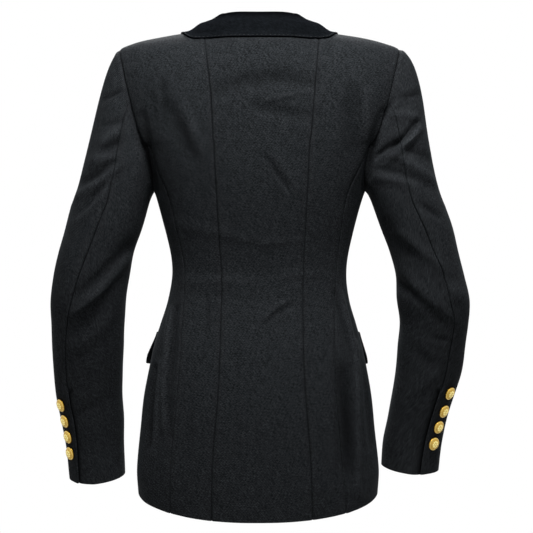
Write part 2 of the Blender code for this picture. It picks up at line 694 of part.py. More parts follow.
def add_collar():
    """Stand and fall as one sheet folded along the top, swept round the neck."""
    surface = shoulder_surface()
    half = len(COLLAR_ROWS) - 1
    rows = []
    Node = namedtuple("Node", "k x y z")
    up = Vector((0, 0, 1))
    turn_in, turn_out = COLLAR_TURN
    lines = {}
    for part in ("neck", "fold", "edge"):
        lines[part] = [Node(k, *getattr(row, part)) for k, row in enumerate(COLLAR_ROWS)]
        mirrored = [Node(-node.k, -node.x, node.y, node.z) for node in lines[part][:0:-1]]
        lines[part] = mirrored + lines[part]
    for i in range(COLLAR_COUNT):
        k = blend(-half, half, i / (COLLAR_COUNT - 1))
        neck, fold, edge = (Vector([at(lines[part], k, axis) for axis in "xyz"])
                            for part in ("neck", "fold", "edge"))
        out = edge - neck
        out.z = 0
        out.normalize()
        inner = fold - out * turn_in - up * turn_out
        outer = fold + out * turn_out - up * turn_in
        belly = blend(outer, edge, 0.5) + (out + up) * COLLAR_BELLY
        fall = [outer, blend(outer, belly, 0.5) + out * COLLAR_BELLY / 4, belly, edge]
        top = blend(inner, outer, 0.5) + up * (turn_in + turn_out) / 2
        rows.append([neck, blend(neck, inner, 0.55), inner, top]
                    + [laid_on(surface, point, COLLAR_OUT) for point in fall])
    cloth("collar", rows, WOOL_DARK, 1)


def add_flap(name, side):
    rows = []
    for i in range(FLAP_ROWS):
        t = i / (FLAP_ROWS - 1)
        row = []
        for j in range(FLAP_COLUMNS):
            s = j / (FLAP_COLUMNS - 1)
            angle = radians(blend(FLAP_ANGLES[0], FLAP_ANGLES[1], s))
            z = FLAP_TOP_Z - FLAP_DEPTH * t - FLAP_SLANT * s
            out = blend(FLAP_OUT[0], FLAP_OUT[1], t)
            place = round_body(angle, z)
            share = place.x / at(BODY_SEAMS, z, "side_front")
            lift = front_lift(share, z, side) if place.y < 0 and share < 1 else 0.0
            row.append(round_body(angle, z, side, out + lift))
        rows.append(row)
    cloth(name, rows, WOOL, side, thick_out=True)


def button_mesh(name, radius):
    """A turned dome on a short post; z is its axis, and the post's foot is at z = 0."""
    post, stem, dome = radius * BUTTON_POST, radius * BUTTON_STEM, radius * BUTTON_DOME
    rim = stem + BUTTON_RIM
    outline = [(0.0, rim + dome), (radius * 0.45, rim + dome * 0.88),
               (radius * 0.80, rim + dome * 0.52), (radius, rim),
               (radius * 0.97, stem), (post, stem - 0.0002), (post, 0.0), (0.0, 0.0)]
    mesh = bpy.data.meshes.new(name + "_outline")
    edges = [(i, i + 1) for i in range(len(outline) - 1)]
    mesh.from_pydata([(x, 0, z) for x, z in outline], edges, [])
    return mesh


def add_button(name, mesh, sheet, near, direction):
    """Sews a button on a sheet, its post's foot just clear of the cloth."""
    reach = 0.02
    foot, _, _, _ = SHEETS[sheet].ray_cast(near + direction * reach, -direction, 2 * reach)
    piece = add_object(name, mesh, GOLD)
    turn = piece.modifiers.new("Turn", "SCREW")
    turn.steps = turn.render_steps = BUTTON_STEPS
    turn.use_merge_vertices = True
    turn.merge_threshold = 0.00005
    turn.use_smooth_shade = True
    piece.rotation_mode = "QUATERNION"
    piece.rotation_quaternion = direction.to_track_quat("Z", "Y")
    piece.location = foot + direction * BUTTON_GAP


def add_cuff_buttons(name, side, table, cuff, buttons):
    mesh = button_mesh("cuff_button_" + name, CUFF_BUTTON_RADIUS)
    for number, button in enumerate(buttons, 1):
        angle = radians(button.angle)
        place = sleeve_ring(table, cuff, angle, button.z, side)
        around = (sleeve_ring(table, cuff, angle + radians(4), button.z, side)
                  - sleeve_ring(table, cuff, angle - radians(4), button.z, side))
        along = (sleeve_ring(table, cuff, angle, button.z + NEAR, side)
                 - sleeve_ring(table, cuff, angle, button.z - NEAR, side))
        direction = around.cross(along).normalized()
        if direction.x * side < 0:
            direction.negate()
        add_button("cuff_button_%s%d" % (name, number), mesh, "sleeve_upper_" + name,
                   place, direction)


def add_front_buttons():
    mesh = button_mesh("front_button", FRONT_BUTTON_RADIUS)
    number = 0
    for z in FRONT_BUTTON_HEIGHTS:
        for x in (FRONT_BUTTON_X, -FRONT_BUTTON_X):
            number += 1
            place = on_front(x, z, -1, 0)
            across = on_front(x + NEAR, z, -1, 0) - on_front(x - NEAR, z, -1, 0)
            along = on_front(x, z + NEAR, -1, 0) - on_front(x, z - NEAR, -1, 0)
            direction = across.cross(along).normalized()
            if direction.y > 0:
                direction.negate()
            add_button("front_button_%d" % number, mesh, "front_R", place, direction)


for old in list(bpy.data.objects):
    bpy.data.objects.remove(old, do_unlink=True)
JACKET = bpy.data.collections.new("double_breasted_jacket")
bpy.context.scene.collection.children.link(JACKET)
SHEETS = {}
WOOL = material("charcoal wool twill", CLOTH_COLOR, 0.85)
WOOL_DARK = material("charcoal wool twill, collar and lapels", COLLAR_COLOR, 0.85)
GOLD = material("gilt brass", GOLD_COLOR, 0.3, 1.0)

middle_share = princess_share()
half_shares = [middle_share * step for step in CENTRE_STEPS]
centre_shares = [-share for share in half_shares[:0:-1]] + half_shares
side_shares = [blend(middle_share, 1.0, i / (BACK_SIDE_COLUMNS - 1))
               for i in range(BACK_SIDE_COLUMNS)]
cloth("back_centre", trimmed(back_grid(centre_shares, 1)), WOOL, -1)
for label, way, sleeve, cuff_edge, head in (("L", 1, SLEEVE_L, CUFF_L, HEAD_L),
                                            ("R", -1, SLEEVE_R, CUFF_R, HEAD_R)):
    back_rows = back_grid(side_shares, way)
    front = front_rows(way)
    under_arm = side_rows(way)
    cloth("back_side_" + label, trimmed(back_rows), WOOL, -way)
    cloth("front_" + label, trimmed(front), WOOL, way)
    cloth("side_" + label, trimmed(under_arm), WOOL, -way)
    add_sleeve(label, way, sleeve, cuff_edge, head, back_rows, front, under_arm)
    add_lapel("lapel_" + label, way)
    add_flap("pocket_flap_" + label, way)
add_collar()
add_cuff_buttons("L", 1, SLEEVE_L, CUFF_L, CUFF_BUTTONS_L)
add_cuff_buttons("R", -1, SLEEVE_R, CUFF_R, CUFF_BUTTONS_R)
add_front_buttons()
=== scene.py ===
from collections import namedtuple
from math import cos, pi, radians, sin, tau

import bpy
import numpy as np
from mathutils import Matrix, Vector
from mathutils.bvhtree import BVHTree


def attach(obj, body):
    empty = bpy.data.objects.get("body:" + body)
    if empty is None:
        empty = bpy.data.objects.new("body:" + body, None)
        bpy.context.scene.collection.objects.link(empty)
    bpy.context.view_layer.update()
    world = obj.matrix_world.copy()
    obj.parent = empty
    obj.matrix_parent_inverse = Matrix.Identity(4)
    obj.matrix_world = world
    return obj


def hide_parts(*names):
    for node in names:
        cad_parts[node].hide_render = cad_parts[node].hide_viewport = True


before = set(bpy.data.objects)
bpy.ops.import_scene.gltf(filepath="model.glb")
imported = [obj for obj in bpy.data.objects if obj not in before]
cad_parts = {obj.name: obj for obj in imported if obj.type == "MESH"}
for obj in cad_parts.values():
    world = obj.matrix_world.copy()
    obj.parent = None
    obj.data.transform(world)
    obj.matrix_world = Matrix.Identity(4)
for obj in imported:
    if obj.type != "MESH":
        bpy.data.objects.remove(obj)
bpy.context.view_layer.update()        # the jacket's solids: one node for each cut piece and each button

# A woman's fitted double-breasted jacket in charcoal wool twill, in its worn form and empty.
# Lengths are metres, in tables millimetres. The front faces -Y, the wearer's left is +X, and
# z = 0 is at the side of the neck.
bothSides = {"L": 1, "R": -1}


# Small helpers

def table(columns, rows, plain=""):
    # a short table with named columns, given in millimetres but for its plain columns
    Row = namedtuple("Row", columns)
    scales = [1 if column in plain.split() else 1000 for column in Row._fields]
    return [Row(*(round(value / scale, 6) for value, scale in zip(row, scales))) for row in rows]


def read(rows, at, column):
    # a smooth curve through one column of a table, at many places at once
    rows = sorted(rows)
    keys = np.array([row[0] for row in rows])
    values = np.array([getattr(row, column) for row in rows], float)
    places = np.arange(len(rows))
    low, high = np.maximum(places - 1, 0), np.minimum(places + 1, len(rows) - 1)
    slopes = (values[high] - values[low]) / (keys[high] - keys[low])
    at = np.clip(at, keys[0], keys[-1])
    i = np.clip(np.searchsorted(keys, at, side="right") - 1, 0, len(rows) - 2)
    span = keys[i + 1] - keys[i]
    t = (at - keys[i]) / span
    return hermite(values[i], span * slopes[i], values[i + 1], span * slopes[i + 1], t)


def hermite(start, leave, end, arrive, t):
    return (start * (2 * t**3 - 3 * t**2 + 1) + leave * (t**3 - 2 * t**2 + t)
            + end * (3 * t**2 - 2 * t**3) + arrive * (t**3 - t**2))


def blend(a, b, t):
    return a + (b - a) * t


def ease(t):
    t = np.clip(t, 0, 1)
    return t * t * (3 - 2 * t)


def ramp(value, low, high):
    return ease((value - low) / (high - low))


def bell(distance, width):
    return np.exp(-(distance / width) ** 2)


def rounded(value, power):
    return np.sign(value) * np.abs(value) ** power


def unit(vectors):
    return vectors / np.maximum(np.linalg.norm(vectors, axis=-1, keepdims=True), 1e-12)


def stacked(*parts):
    return np.stack(np.broadcast_arrays(*parts), -1)


def lengthsAlong(grid, axis):
    lengths = np.linalg.norm(np.diff(grid, axis=axis), axis=-1)
    return np.concatenate([np.zeros_like(lengths.take([0], axis)), np.cumsum(lengths, axis)], axis)


def alongLine(points, shares):
    # places at shares of a line's length
    points = np.asarray(points)
    lengths = lengthsAlong(points, 0)
    return stacked(*[np.interp(shares, lengths / lengths[-1], points[:, i]) for i in range(3)])


# Cloth in general: how thick it is, how closely its sheets are meshed, how its seams lie, how uneven
# it is, and how near a sheet has to be for other pieces to be laid on it.
cloth = dict(wall=0.0018, edgeRound=0.00045, spacing=0.0030, rowsBelow=190,
             seamSteps=(0.0004, 0.0008, 0.0013, 0.0021, 0.0038, 0.0062),
             allowance=0.0012, grooveDepth=0.0024, grooveWidth=0.0009,
             shallowZ=(-0.060, -0.030), shallowShare=0.75,
             puffHeight=0.0004, puffAt=0.0050, puffWidth=0.0040,
             puckerHeight=0.00012, puckerLength=0.0115, puckerReach=0.0100, puckerDrift=2.2,
             puckerMean=0.6, puckerSwing=0.6, driftSize=0.05, swingSize=0.11,
             unevenHeight=0.0004, unevenSize=0.075, unevenSeed=5, nearBy=0.02)


def steps(width, first=True, last=True):
    # shares from 0 to 1 across a width, closer together beside a seam
    close = np.array((0,) + cloth["seamSteps"])
    start, end = close[-1] if first else 0, close[-1] if last else 0
    middle = np.linspace(start, width - end, max(3, int((width - start - end) / cloth["spacing"]) + 1))
    parts = [close[:-1]] if first else []
    parts.append(middle)
    if last:
        parts.append(width - close[:-1][::-1])
    return np.concatenate(parts) / width


# The body's form

# Heights of the body, and its roundness: 2 is an ellipse, more is squarer.
body = dict(hemBack=-0.675, hemSide=-0.651, hemFront=-0.668, yoke=-0.163, underarm=-0.222,
            lapelBreak=-0.270, round=2.3, shoulderRound=2.6, shoulderSwing=0.72,
            princessTop=0.0775, hemCurve=1.4, underarmCurve=2.4)

# Double-breasted front: the right front lies over the left one. topWidth is about its width at the
# shoulder, and the roll line is looked for between rollShares.
front = dict(overlap=0.078, neckX=0.070, overFront=0.0030, overLapel=0.0038,
             lapelLiftZ=(-0.325, -0.280), fadeShare=0.16, fadeZ=(-0.105, -0.055), topWidth=0.17,
             rollShares=(-0.6, 0.9))

bodySections = table("z halfWidth back front", [
    (-680, 165.5, 116, 107), (-645, 169.5, 116, 107), (-615, 171, 115, 106), (-550, 165, 111, 104),
    (-498, 158.5, 105, 102), (-450, 149, 96, 98), (-413, 138.5, 86, 94), (-379, 128.5, 78, 91.5),
    (-345, 123.7, 75, 91), (-310, 126.5, 79, 96), (-260, 139, 88, 109), (-222, 150, 94, 115),
    (-190, 163, 97, 115), (-160, 176, 98, 112),
])

bodySeams = table("z princess sideBack sideFront", [
    (-680, 68.5, 120, 126), (-600, 67, 118, 124), (-520, 61, 111, 118), (-450, 56.5, 106, 110),
    (-413, 56, 105.5, 104), (-345, 55.5, 103.5, 98), (-295, 56.8, 107.5, 104), (-250, 59, 114, 113),
    (-222, 60.5, 122, 122), (-190, 62, 140, 137), (-163, 63.5, 158, 149),
])

# How far the left and right princess seams lie to the wearer's right of those lines
princessLeans = table("z left right", [
    (-660, 6.3, 5.4), (-580, 6.6, 5.2), (-510, 6.9, 5.3), (-445, 5, 6), (-385, 4.8, 5.2),
    (-340, 3.6, 5.1), (-296, 1.6, 6.1), (-230, 1.3, 5.8), (-166, 1.7, 5.6), (-134, 3.4, 4.7),
    (-100, 4.2, 4.2), (-65, 3, 4.3), (-20, 1, 4.7),
])

# How far out from those lines the left and right side-back seams lie
sideBackLeans = table("z left right", [
    (-420, 0, 0), (-370, 0, 3), (-320, 1.2, 4.2), (-285, 4.8, 4.4), (-250, 7.8, 4), (-215, 8.2, 3.2),
    (-188, 4.8, 1.8), (-168, 0, 0),
])

# The skirt hangs a little to the wearer's left.
skirtSway = table("z x", [(-680, 1.5), (-600, 2.4), (-460, 2.2), (-400, 1.2), (-340, 0)])

neckline = table("x backY frontY z", [
    (0, 52, -46, -4), (40, 44, -32, -3.8), (60, 25, -16, -4), (72, 0, 0, 1),
])

shoulderSeam = table("x z", [(72, 1), (115, -4), (160, -12), (187.5, -20), (197, -25)])


def sectionAngle(x, z):
    share = np.minimum(1, np.abs(x) / read(bodySections, z, "halfWidth"))
    return np.arcsin(share ** (body["round"] / 2))


def roundBody(angle, z):
    # the body below the yoke: angle 0 is its back, 90 its side, 180 its front
    width = read(bodySections, z, "halfWidth")
    depth = np.where(np.cos(angle) > 0, read(bodySections, z, "back"), read(bodySections, z, "front"))
    power = 2 / body["round"]
    return stacked(width * rounded(np.sin(angle), power), depth * rounded(np.cos(angle), power), z)


def seamX(name, z):
    return read(bodySeams, z, name)


def leanOf(leans, z, side):
    return read(leans, z, "left" if side > 0 else "right")


def swayed(points):
    points[..., 0] += read(skirtSway, points[..., 2], "x")
    return points


def shoulderLean(rise):
    # how much of its depth at the yoke the shoulder keeps at a rise
    power = body["shoulderRound"]
    return np.maximum(0, 1 - rise ** power) ** (1 / power)


def shoulder(face, share, rise):
    # back (face 1) or front (face -1) from the yoke, rise 0, to the shoulder seam, rise 1
    sign, share = np.where(share < 0, -1, 1), np.abs(share)
    edge = seamX("sideBack" if face > 0 else "sideFront", body["yoke"])
    middle = seamX("princess", body["yoke"]) / edge
    lowX = share * edge
    topX = np.where(share < middle, body["princessTop"] * share / middle,
                    blend(body["princessTop"], shoulderSeam[-1].x, (share - middle) / (1 - middle)))
    angle = sectionAngle(lowX, body["yoke"])
    low = roundBody(angle if face > 0 else pi - angle, body["yoke"])
    inNeck = topX < neckline[-1].x
    topY = np.where(inNeck, read(neckline, topX, "backY" if face > 0 else "frontY"), 0)
    topZ = np.where(inNeck, read(neckline, topX, "z"), read(shoulderSeam, topX, "z"))
    return stacked(sign * blend(lowX, topX, rise ** body["shoulderSwing"]),
                   blend(topY, low[..., 1], shoulderLean(rise)), blend(body["yoke"], topZ, rise))


def evenRises():
    # rises from the yoke to the shoulder seam that are evenly spaced along the cloth
    t = np.linspace(0, 1, 2000)
    rise = 1 - (1 - t) ** 3
    height, depth = abs(body["yoke"]), bodySections[-1].back
    lengths = lengthsAlong(stacked(rise * height, shoulderLean(rise) * depth, 0 * t), 0)
    return np.interp(steps(lengths[-1], first=False), lengths / lengths[-1], rise)


def rollX(z):
    # the lapel's roll line, mirrored to its own side
    return blend(-front["overlap"], front["neckX"],
                 (z - body["lapelBreak"]) / (neckline[-1].z - body["lapelBreak"]))


def hemZ(angle):
    end = np.where(np.cos(angle) > 0, body["hemBack"], body["hemFront"])
    return blend(body["hemSide"], end, np.abs(np.cos(angle)) ** body["hemCurve"])


levels = np.linspace(0, 1, cloth["rowsBelow"])[:, None]    # from the hem, 0, to the yoke, 1
rises = evenRises()[1:, None]
middleShare = float(seamX("princess", body["yoke"]) / seamX("sideBack", body["yoke"]))


def sideBackX(z, side):
    return seamX("sideBack", z) + leanOf(sideBackLeans, z, side)


def princessShares(side):
    # the princess seam's share in each row of the back
    z = np.concatenate([blend(body["hemBack"], body["yoke"], levels), body["yoke"] * (1 - rises)])
    princess, edge = seamX("princess", z), sideBackX(z, side)
    out = -side * leanOf(princessLeans, z, side)
    return middleShare + out * np.where(out > 0, (1 - middleShare) / (edge - princess),
                                        middleShare / princess)


def backGrid(shares, side):
    # rows from the hem to the shoulder; shares run from the centre, 0, to the armhole, 1
    shares, above = shares[:len(levels)], shares[len(levels):]
    size = np.abs(shares)

    def columnX(z):
        edge = np.where(shares * side < 0, sideBackX(z, -1), sideBackX(z, 1))
        princess = seamX("princess", z)
        return np.where(size <= middleShare, princess * size / middleShare,
                        blend(princess, edge, (size - middleShare) / (1 - middleShare)))

    hem = 0 * size + body["hemBack"]
    z = blend(hemZ(sectionAngle(columnX(hem), hem)), body["yoke"], levels)
    low = roundBody(sectionAngle(columnX(z), z), z)
    low[..., 0] *= np.where(shares < 0, -1, 1)
    grid = np.concatenate([low, shoulder(1, above, rises)])
    grid[..., 0] *= side
    return swayed(grid)


def frontLift(share, z, side):
    # how far the right front is carried out over the left one and its lapel
    if side > 0:
        return 0 * share
    over = front["overFront"] + front["overLapel"] * ramp(z, *front["lapelLiftZ"])
    return over * ease((1 - share) / front["fadeShare"]) * (1 - ramp(z, *front["fadeZ"]))


def frontBase(share, z):
    # the front below the yoke; share is x over the side-front seam's x
    x = share * seamX("sideFront", z)
    point = roundBody(pi - sectionAngle(x, z), z)
    point[..., 0] *= np.where(share < 0, -1, 1)
    return point


def frontGrid(across, side):
    # rows from the hem to the shoulder, from the front edge and roll line to the side seam
    hem = 0 * across + body["hemFront"]
    z = blend(hemZ(pi - sectionAngle(across * seamX("sideFront", hem), hem)), body["yoke"], levels)
    edge = np.where(z <= body["lapelBreak"], -front["overlap"], rollX(z))
    below = blend(edge / seamX("sideFront", z), 1, across)
    low, high = (0 * rises + share for share in front["rollShares"])
    for _ in range(40):    # halves towards the share where each row meets the roll line
        middle = (low + high) / 2
        point = shoulder(-1, middle, rises)
        inside = point[..., 0] < rollX(point[..., 2])
        low, high = np.where(inside, middle, low), np.where(inside, high, middle)
    above = blend(low, 1, across)
    upper = shoulder(-1, above, rises)
    grid = np.concatenate([frontBase(below, z), upper])
    lift = np.concatenate([frontLift(below, z, side), frontLift(above, upper[..., 2], side)])
    grid[..., 0] *= side
    return swayed(grid), lift


def onFront(x, z, side):
    # places on a front at x on its own side and height z, with how far they are lifted
    x, z = np.broadcast_arrays(np.asarray(x, float), np.asarray(z, float))
    share = x / seamX("sideFront", body["yoke"])
    low, high = np.zeros(x.shape), np.ones(x.shape)
    for _ in range(40):    # halves towards the rise at each height
        rise = (low + high) / 2
        upper = shoulder(-1, share, rise)
        share = share + (x - upper[..., 0]) / front["topWidth"]
        below = upper[..., 2] < z
        low, high = np.where(below, rise, low), np.where(below, high, rise)
    under = z <= body["yoke"]
    share = np.where(under, x / seamX("sideFront", z), share)
    points = np.where(under[..., None], frontBase(share, z), upper)
    points[..., 0] *= side
    return swayed(points), frontLift(share, z, side)


def sideGrid(across, side, backEdge, frontEdge):
    # a side panel between its two seams, up to the armhole
    def angleAt(z):
        return blend(sectionAngle(sideBackX(z, side), z), pi - sectionAngle(seamX("sideFront", z), z),
                     across)

    start = hemZ(angleAt(body["hemSide"]))
    start[0], start[-1] = backEdge[0][2], frontEdge[0][2]
    top = blend(body["underarm"], body["yoke"], np.abs(2 * across - 1) ** body["underarmCurve"])
    z = blend(start, top, levels)
    grid = roundBody(angleAt(z), z)
    grid[..., 0] *= side
    return swayed(grid)


# How the cloth lies on that form

# A crease is seen from behind (face 1) or from the front (face -1) and runs from one point to another
# with a sideways bend. Amount is a ridge's height or, below zero, a trough's depth; width is its half
# width, and lower is how much narrower its lower side is.
creaseColumns = "face x0 z0 x1 z1 bend width lower amount"
creaseForm = dict(endDepth=0.35, endPower=0.7, endRoom=0.12, endLength=1.6, turnedAway=(0.02, 0.45))

# Painted shade where little light gets in: along seams, in the bottoms of creases and under the arms;
# ridges get painted highlight, as they catch more light.
shade = dict(seamWidth=0.0012, seamZ=(-0.240, -0.190), creaseDepth=0.010, creaseShare=0.75,
             ridgeHighlight=0.85, ridgeHighlightMost=0.7, lightest=-0.6, armpitShare=0.6, armpitWidth=0.009,
             armpitZ=(-0.260, -0.215, -0.190, -0.120))


def normalsOf(grid, outward):
    across, along = np.gradient(grid, axis=1), np.gradient(grid, axis=0)
    return outward * unit(np.cross(across, along))


def creaseAmount(creases, grid, face):
    x, z, form = grid[..., 0], grid[..., 2], creaseForm
    total = 0 * x
    for crease in creases:
        dx, dz = crease.x1 - crease.x0, crease.z1 - crease.z0
        length = np.hypot(dx, dz)
        t = ((x - crease.x0) * dx + (z - crease.z0) * dz) / length ** 2
        near = np.clip(t, 0, 1)
        aside = ((x - crease.x0) * dz - (z - crease.z0) * dx) / length
        aside = aside - crease.bend * 4 * near * (1 - near) * np.sign(dx)
        past = (t - near) * length
        width = crease.width * np.where(aside * np.sign(dx) > 0, crease.lower, 1)
        along = np.clip((t + form["endRoom"]) / (1 + 2 * form["endRoom"]), 0, 1)
        taper = form["endDepth"] + (1 - form["endDepth"]) * np.sin(pi * along) ** form["endPower"]
        shape = np.exp(-(aside / width) ** 2 - (past / (form["endLength"] * crease.width)) ** 2)
        seen = ramp(crease.face * face, *form["turnedAway"])
        total = total + crease.amount * shape * taper * seen
    return total


def waves(grid, size, seed):
    # smooth unevenness, the same on each run: a few crossing waves of about this size
    chance = np.random.default_rng(seed)
    total = 0
    for _ in range(14):
        direction = unit(chance.normal(size=3)) * tau / size * chance.uniform(0.6, 1.7)
        total = total + np.sin(grid @ direction + chance.uniform(0, tau))
    return total / 4


def seamOut(distance, along, grid, seed):
    # a pressed seam: the cloth dips into it, swells beside it and puckers a little along it
    drift = cloth["puckerDrift"] * waves(grid, cloth["driftSize"], seed)
    swing = cloth["puckerSwing"] * waves(grid, cloth["swingSize"], seed + 1)
    pucker = np.sin(tau * along / cloth["puckerLength"] + drift) * (cloth["puckerMean"] + swing)
    groove = cloth["grooveDepth"] * (1 - cloth["shallowShare"] * ramp(grid[..., 2], *cloth["shallowZ"]))
    return (cloth["puckerHeight"] * pucker * bell(distance, cloth["puckerReach"])
            - groove * bell(distance, cloth["grooveWidth"])
            + cloth["puffHeight"] * bell(distance - cloth["puffAt"], cloth["puffWidth"]))


def edgeDistances(grid):
    across, along = lengthsAlong(grid, 1), lengthsAlong(grid, 0)
    return dict(first=(across, along), last=(across[:, -1:] - across, along),
                bottom=(along, across), top=(along[-1:] - along, across))


def lie(grid, outward, creases, seams, seed, extra=0):
    # moves a smooth grid out or in along its normals: creases, seams and unevenness
    normals = normalsOf(grid, outward)
    out = creaseAmount(creases, grid, normals[..., 1]) + extra
    out = out + cloth["unevenHeight"] * waves(grid, cloth["unevenSize"], cloth["unevenSeed"])
    edges = edgeDistances(grid)
    for name in seams:
        out = out + seamOut(*edges[name], grid, seed)
    return grid + normals * out[..., None]


def foldShade(grid, outward, creases, seams):
    # painted shade, up to 1 where it is darkest, and painted highlight below 0 on ridges; each seam has
    # its shade below and above the armhole's foot
    hollow = -creaseAmount(creases, grid, normalsOf(grid, outward)[..., 1]) / shade["creaseDepth"]
    total = (shade["creaseShare"] * np.clip(hollow, 0, 1)
             + shade["ridgeHighlight"] * np.clip(hollow, -shade["ridgeHighlightMost"], 0))
    edges, height = edgeDistances(grid), grid[..., 2]
    for name, below, above in seams:
        distance = edges[name][0]
        total = total + blend(below, above, ramp(height, *shade["seamZ"])) * bell(distance,
                                                                                  shade["seamWidth"])
        if above > 0.8:    # a seam of the armhole
            # painted shadow under the arm, beside the armhole's seams
            fadeIn, full, fullTo, fadeOut = shade["armpitZ"]
            near = ramp(height, fadeIn, full) * (1 - ramp(height, fullTo, fadeOut))
            total = total + shade["armpitShare"] * near * bell(distance, shade["armpitWidth"])
    return np.clip(total, shade["lightest"], 1)


# Materials

def hexColor(value):
    # an sRGB hex colour as linear light
    parts = [int(value[i:i + 2], 16) / 255 for i in (1, 3, 5)]
    return [c / 12.92 if c <= 0.04045 else ((c + 0.055) / 1.055) ** 2.4 for c in parts] + [1]


def setInputs(node, links, **values):
    # links are (input, source node, source output), and values are named in_ and the input's name
    for name, value in values.items():
        key = name[3:].replace("_", " ")
        node.inputs[int(key) if key.isdigit() else key].default_value = value
    for target, source, output in links:
        node.id_data.links.new(source.outputs[output], node.inputs[target])
    return node


def addNode(tree, kind, links=(), **settings):
    # a node with its inputs and its own settings
    node = tree.nodes.new(kind)
    own = [name for name in settings if not name.startswith("in_")]
    for name in own:
        setattr(node, name, settings.pop(name))
    return setInputs(node, links, **settings)


def newMaterial(name):
    made = bpy.data.materials.new(name)
    made.use_nodes = True
    return made, made.node_tree, made.node_tree.nodes["Principled BSDF"]


def addRamp(tree, source, output, stops):
    node = addNode(tree, "ShaderNodeValToRGB", [("Fac", source, output)])
    elements = node.color_ramp.elements
    while len(elements) < len(stops):
        elements.new(0.5)
    for element, (place, color) in zip(elements, stops):
        element.position, element.color = place, hexColor(color)
    return node


# Wool twill: worsted yarns dyed charcoal and woven with a steep diagonal, then pressed. The eye sees a
# matt, near-black cloth with a fine grain of lighter fibres and a faint cool sheen at a slant.
# Real twill lines are 0.8 mm apart; they are drawn 1.7 mm apart so that a render still shows them.
twill = dict(lines=0.0017, slant=62, heather=0.0010, fibreStretch=0.28, slub=0.012, reliefDepth=0.00022,
             heatherShare=0.80, slubShare=0.15, leftInFolds=0.12, roughness=0.85, sheenRoughness=0.45,
             refraction=1.54)


def woolTwill(name, dark, middle, light, gloss, sheenTint):
    made, tree, shader = newMaterial(name)
    across = addNode(tree, "ShaderNodeUVMap", uv_map="grain")
    turned = addNode(tree, "ShaderNodeMapping", [("Vector", across, "UV")],
                     in_Rotation=(0, 0, radians(twill["slant"])))
    # Blender's bands repeat every 0.314 units at scale 1
    lines = addNode(tree, "ShaderNodeTexWave", [("Vector", turned, "Vector")],
                    in_Scale=0.314 / twill["lines"], in_Distortion=2.2, in_Detail=2,
                    in_Detail_Scale=1.6)
    stretched = addNode(tree, "ShaderNodeMapping", [("Vector", turned, "Vector")],
                        in_Scale=(1 / twill["heather"], twill["fibreStretch"] / twill["heather"], 1))
    heather = addNode(tree, "ShaderNodeTexNoise", [("Vector", stretched, "Vector")],
                      in_Scale=1, in_Detail=3, in_Roughness=0.65)
    slubs = addNode(tree, "ShaderNodeTexNoise", [("Vector", across, "UV")],
                    in_Scale=1 / twill["slub"], in_Detail=4, in_Roughness=0.7)
    weave = addNode(tree, "ShaderNodeMix", [("A", lines, "Fac"), ("B", heather, "Fac")],
                    in_Factor=twill["heatherShare"])
    tone = addNode(tree, "ShaderNodeMix", [("A", weave, "Result"), ("B", slubs, "Fac")],
                   in_Factor=twill["slubShare"])
    color = addRamp(tree, tone, "Result", [(0.34, dark), (0.50, middle), (0.67, light)])
    # painted shade from the fold attribute scales the colour down towards leftInFolds; below zero it
    # scales it up as painted highlight
    fold = addNode(tree, "ShaderNodeAttribute", attribute_name="fold")
    left = addNode(tree, "ShaderNodeMapRange", [("Value", fold, "Fac")], clamp=False,
                   in_To_Min=1, in_To_Max=twill["leftInFolds"])
    dimmed = addNode(tree, "ShaderNodeVectorMath", [(0, color, "Color"), ("Scale", left, "Result")],
                     operation="SCALE")
    relief = addNode(tree, "ShaderNodeBump", [("Height", weave, "Result")],
                     in_Strength=0.6, in_Distance=twill["reliefDepth"])
    setInputs(shader, [("Base Color", dimmed, "Vector"), ("Normal", relief, "Normal")],
              in_Roughness=twill["roughness"], in_IOR=twill["refraction"],
              in_Specular_IOR_Level=gloss, in_Sheen_Weight=gloss,
              in_Sheen_Roughness=twill["sheenRoughness"], in_Sheen_Tint=hexColor(sheenTint))
    return made


# Gilt brass: die-stamped brass, gold-plated and lacquered. Bright and warm on the raised parts, with
# painted shade making the hollows of the relief browner, and fine scratches from wear.
gilt = dict(bright="#FFF3A4", hollow="#B48A2C", roughness=0.28, smoother=0.06, rougher=0.14,
            scratchSize=0.0009, scratchDepth=0.00008)


def giltBrass():
    made, tree, shader = newMaterial("giltBrass")
    raised = addNode(tree, "ShaderNodeAttribute", attribute_name="raised")
    # painted shade: browner where the relief is low
    color = addRamp(tree, raised, "Fac", [(0.15, gilt["hollow"]), (0.62, gilt["bright"])])
    place = addNode(tree, "ShaderNodeTexCoord")
    scratches = addNode(tree, "ShaderNodeTexNoise", [("Vector", place, "Object")],
                        in_Scale=1 / gilt["scratchSize"], in_Detail=3)
    rough = addNode(tree, "ShaderNodeMapRange", [("Value", scratches, "Fac")],
                    in_To_Min=gilt["roughness"] - gilt["smoother"],
                    in_To_Max=gilt["roughness"] + gilt["rougher"])
    relief = addNode(tree, "ShaderNodeBump", [("Height", scratches, "Fac")],
                     in_Strength=0.15, in_Distance=gilt["scratchDepth"])
    setInputs(shader, [("Base Color", color, "Color"), ("Roughness", rough, "Result"),
                       ("Normal", relief, "Normal")], in_Metallic=1)
    return made


# Sewing thread: spun polyester, dyed to the cloth, with a slight lustre and twisted plies.
thread = dict(dark="#121416", light="#1B1E21", ply=0.0004, plyDepth=0.0001, roughness=0.55)


def sewingThread():
    made, tree, shader = newMaterial("sewingThread")
    place = addNode(tree, "ShaderNodeTexCoord")
    plies = addNode(tree, "ShaderNodeTexNoise", [("Vector", place, "Object")],
                    in_Scale=1 / thread["ply"], in_Detail=2)
    color = addRamp(tree, plies, "Fac", [(0.3, thread["dark"]), (0.7, thread["light"])])
    relief = addNode(tree, "ShaderNodeBump", [("Height", plies, "Fac")],
                     in_Strength=0.4, in_Distance=thread["plyDepth"])
    setInputs(shader, [("Base Color", color, "Color"), ("Normal", relief, "Normal")],
              in_Roughness=thread["roughness"])
    return made
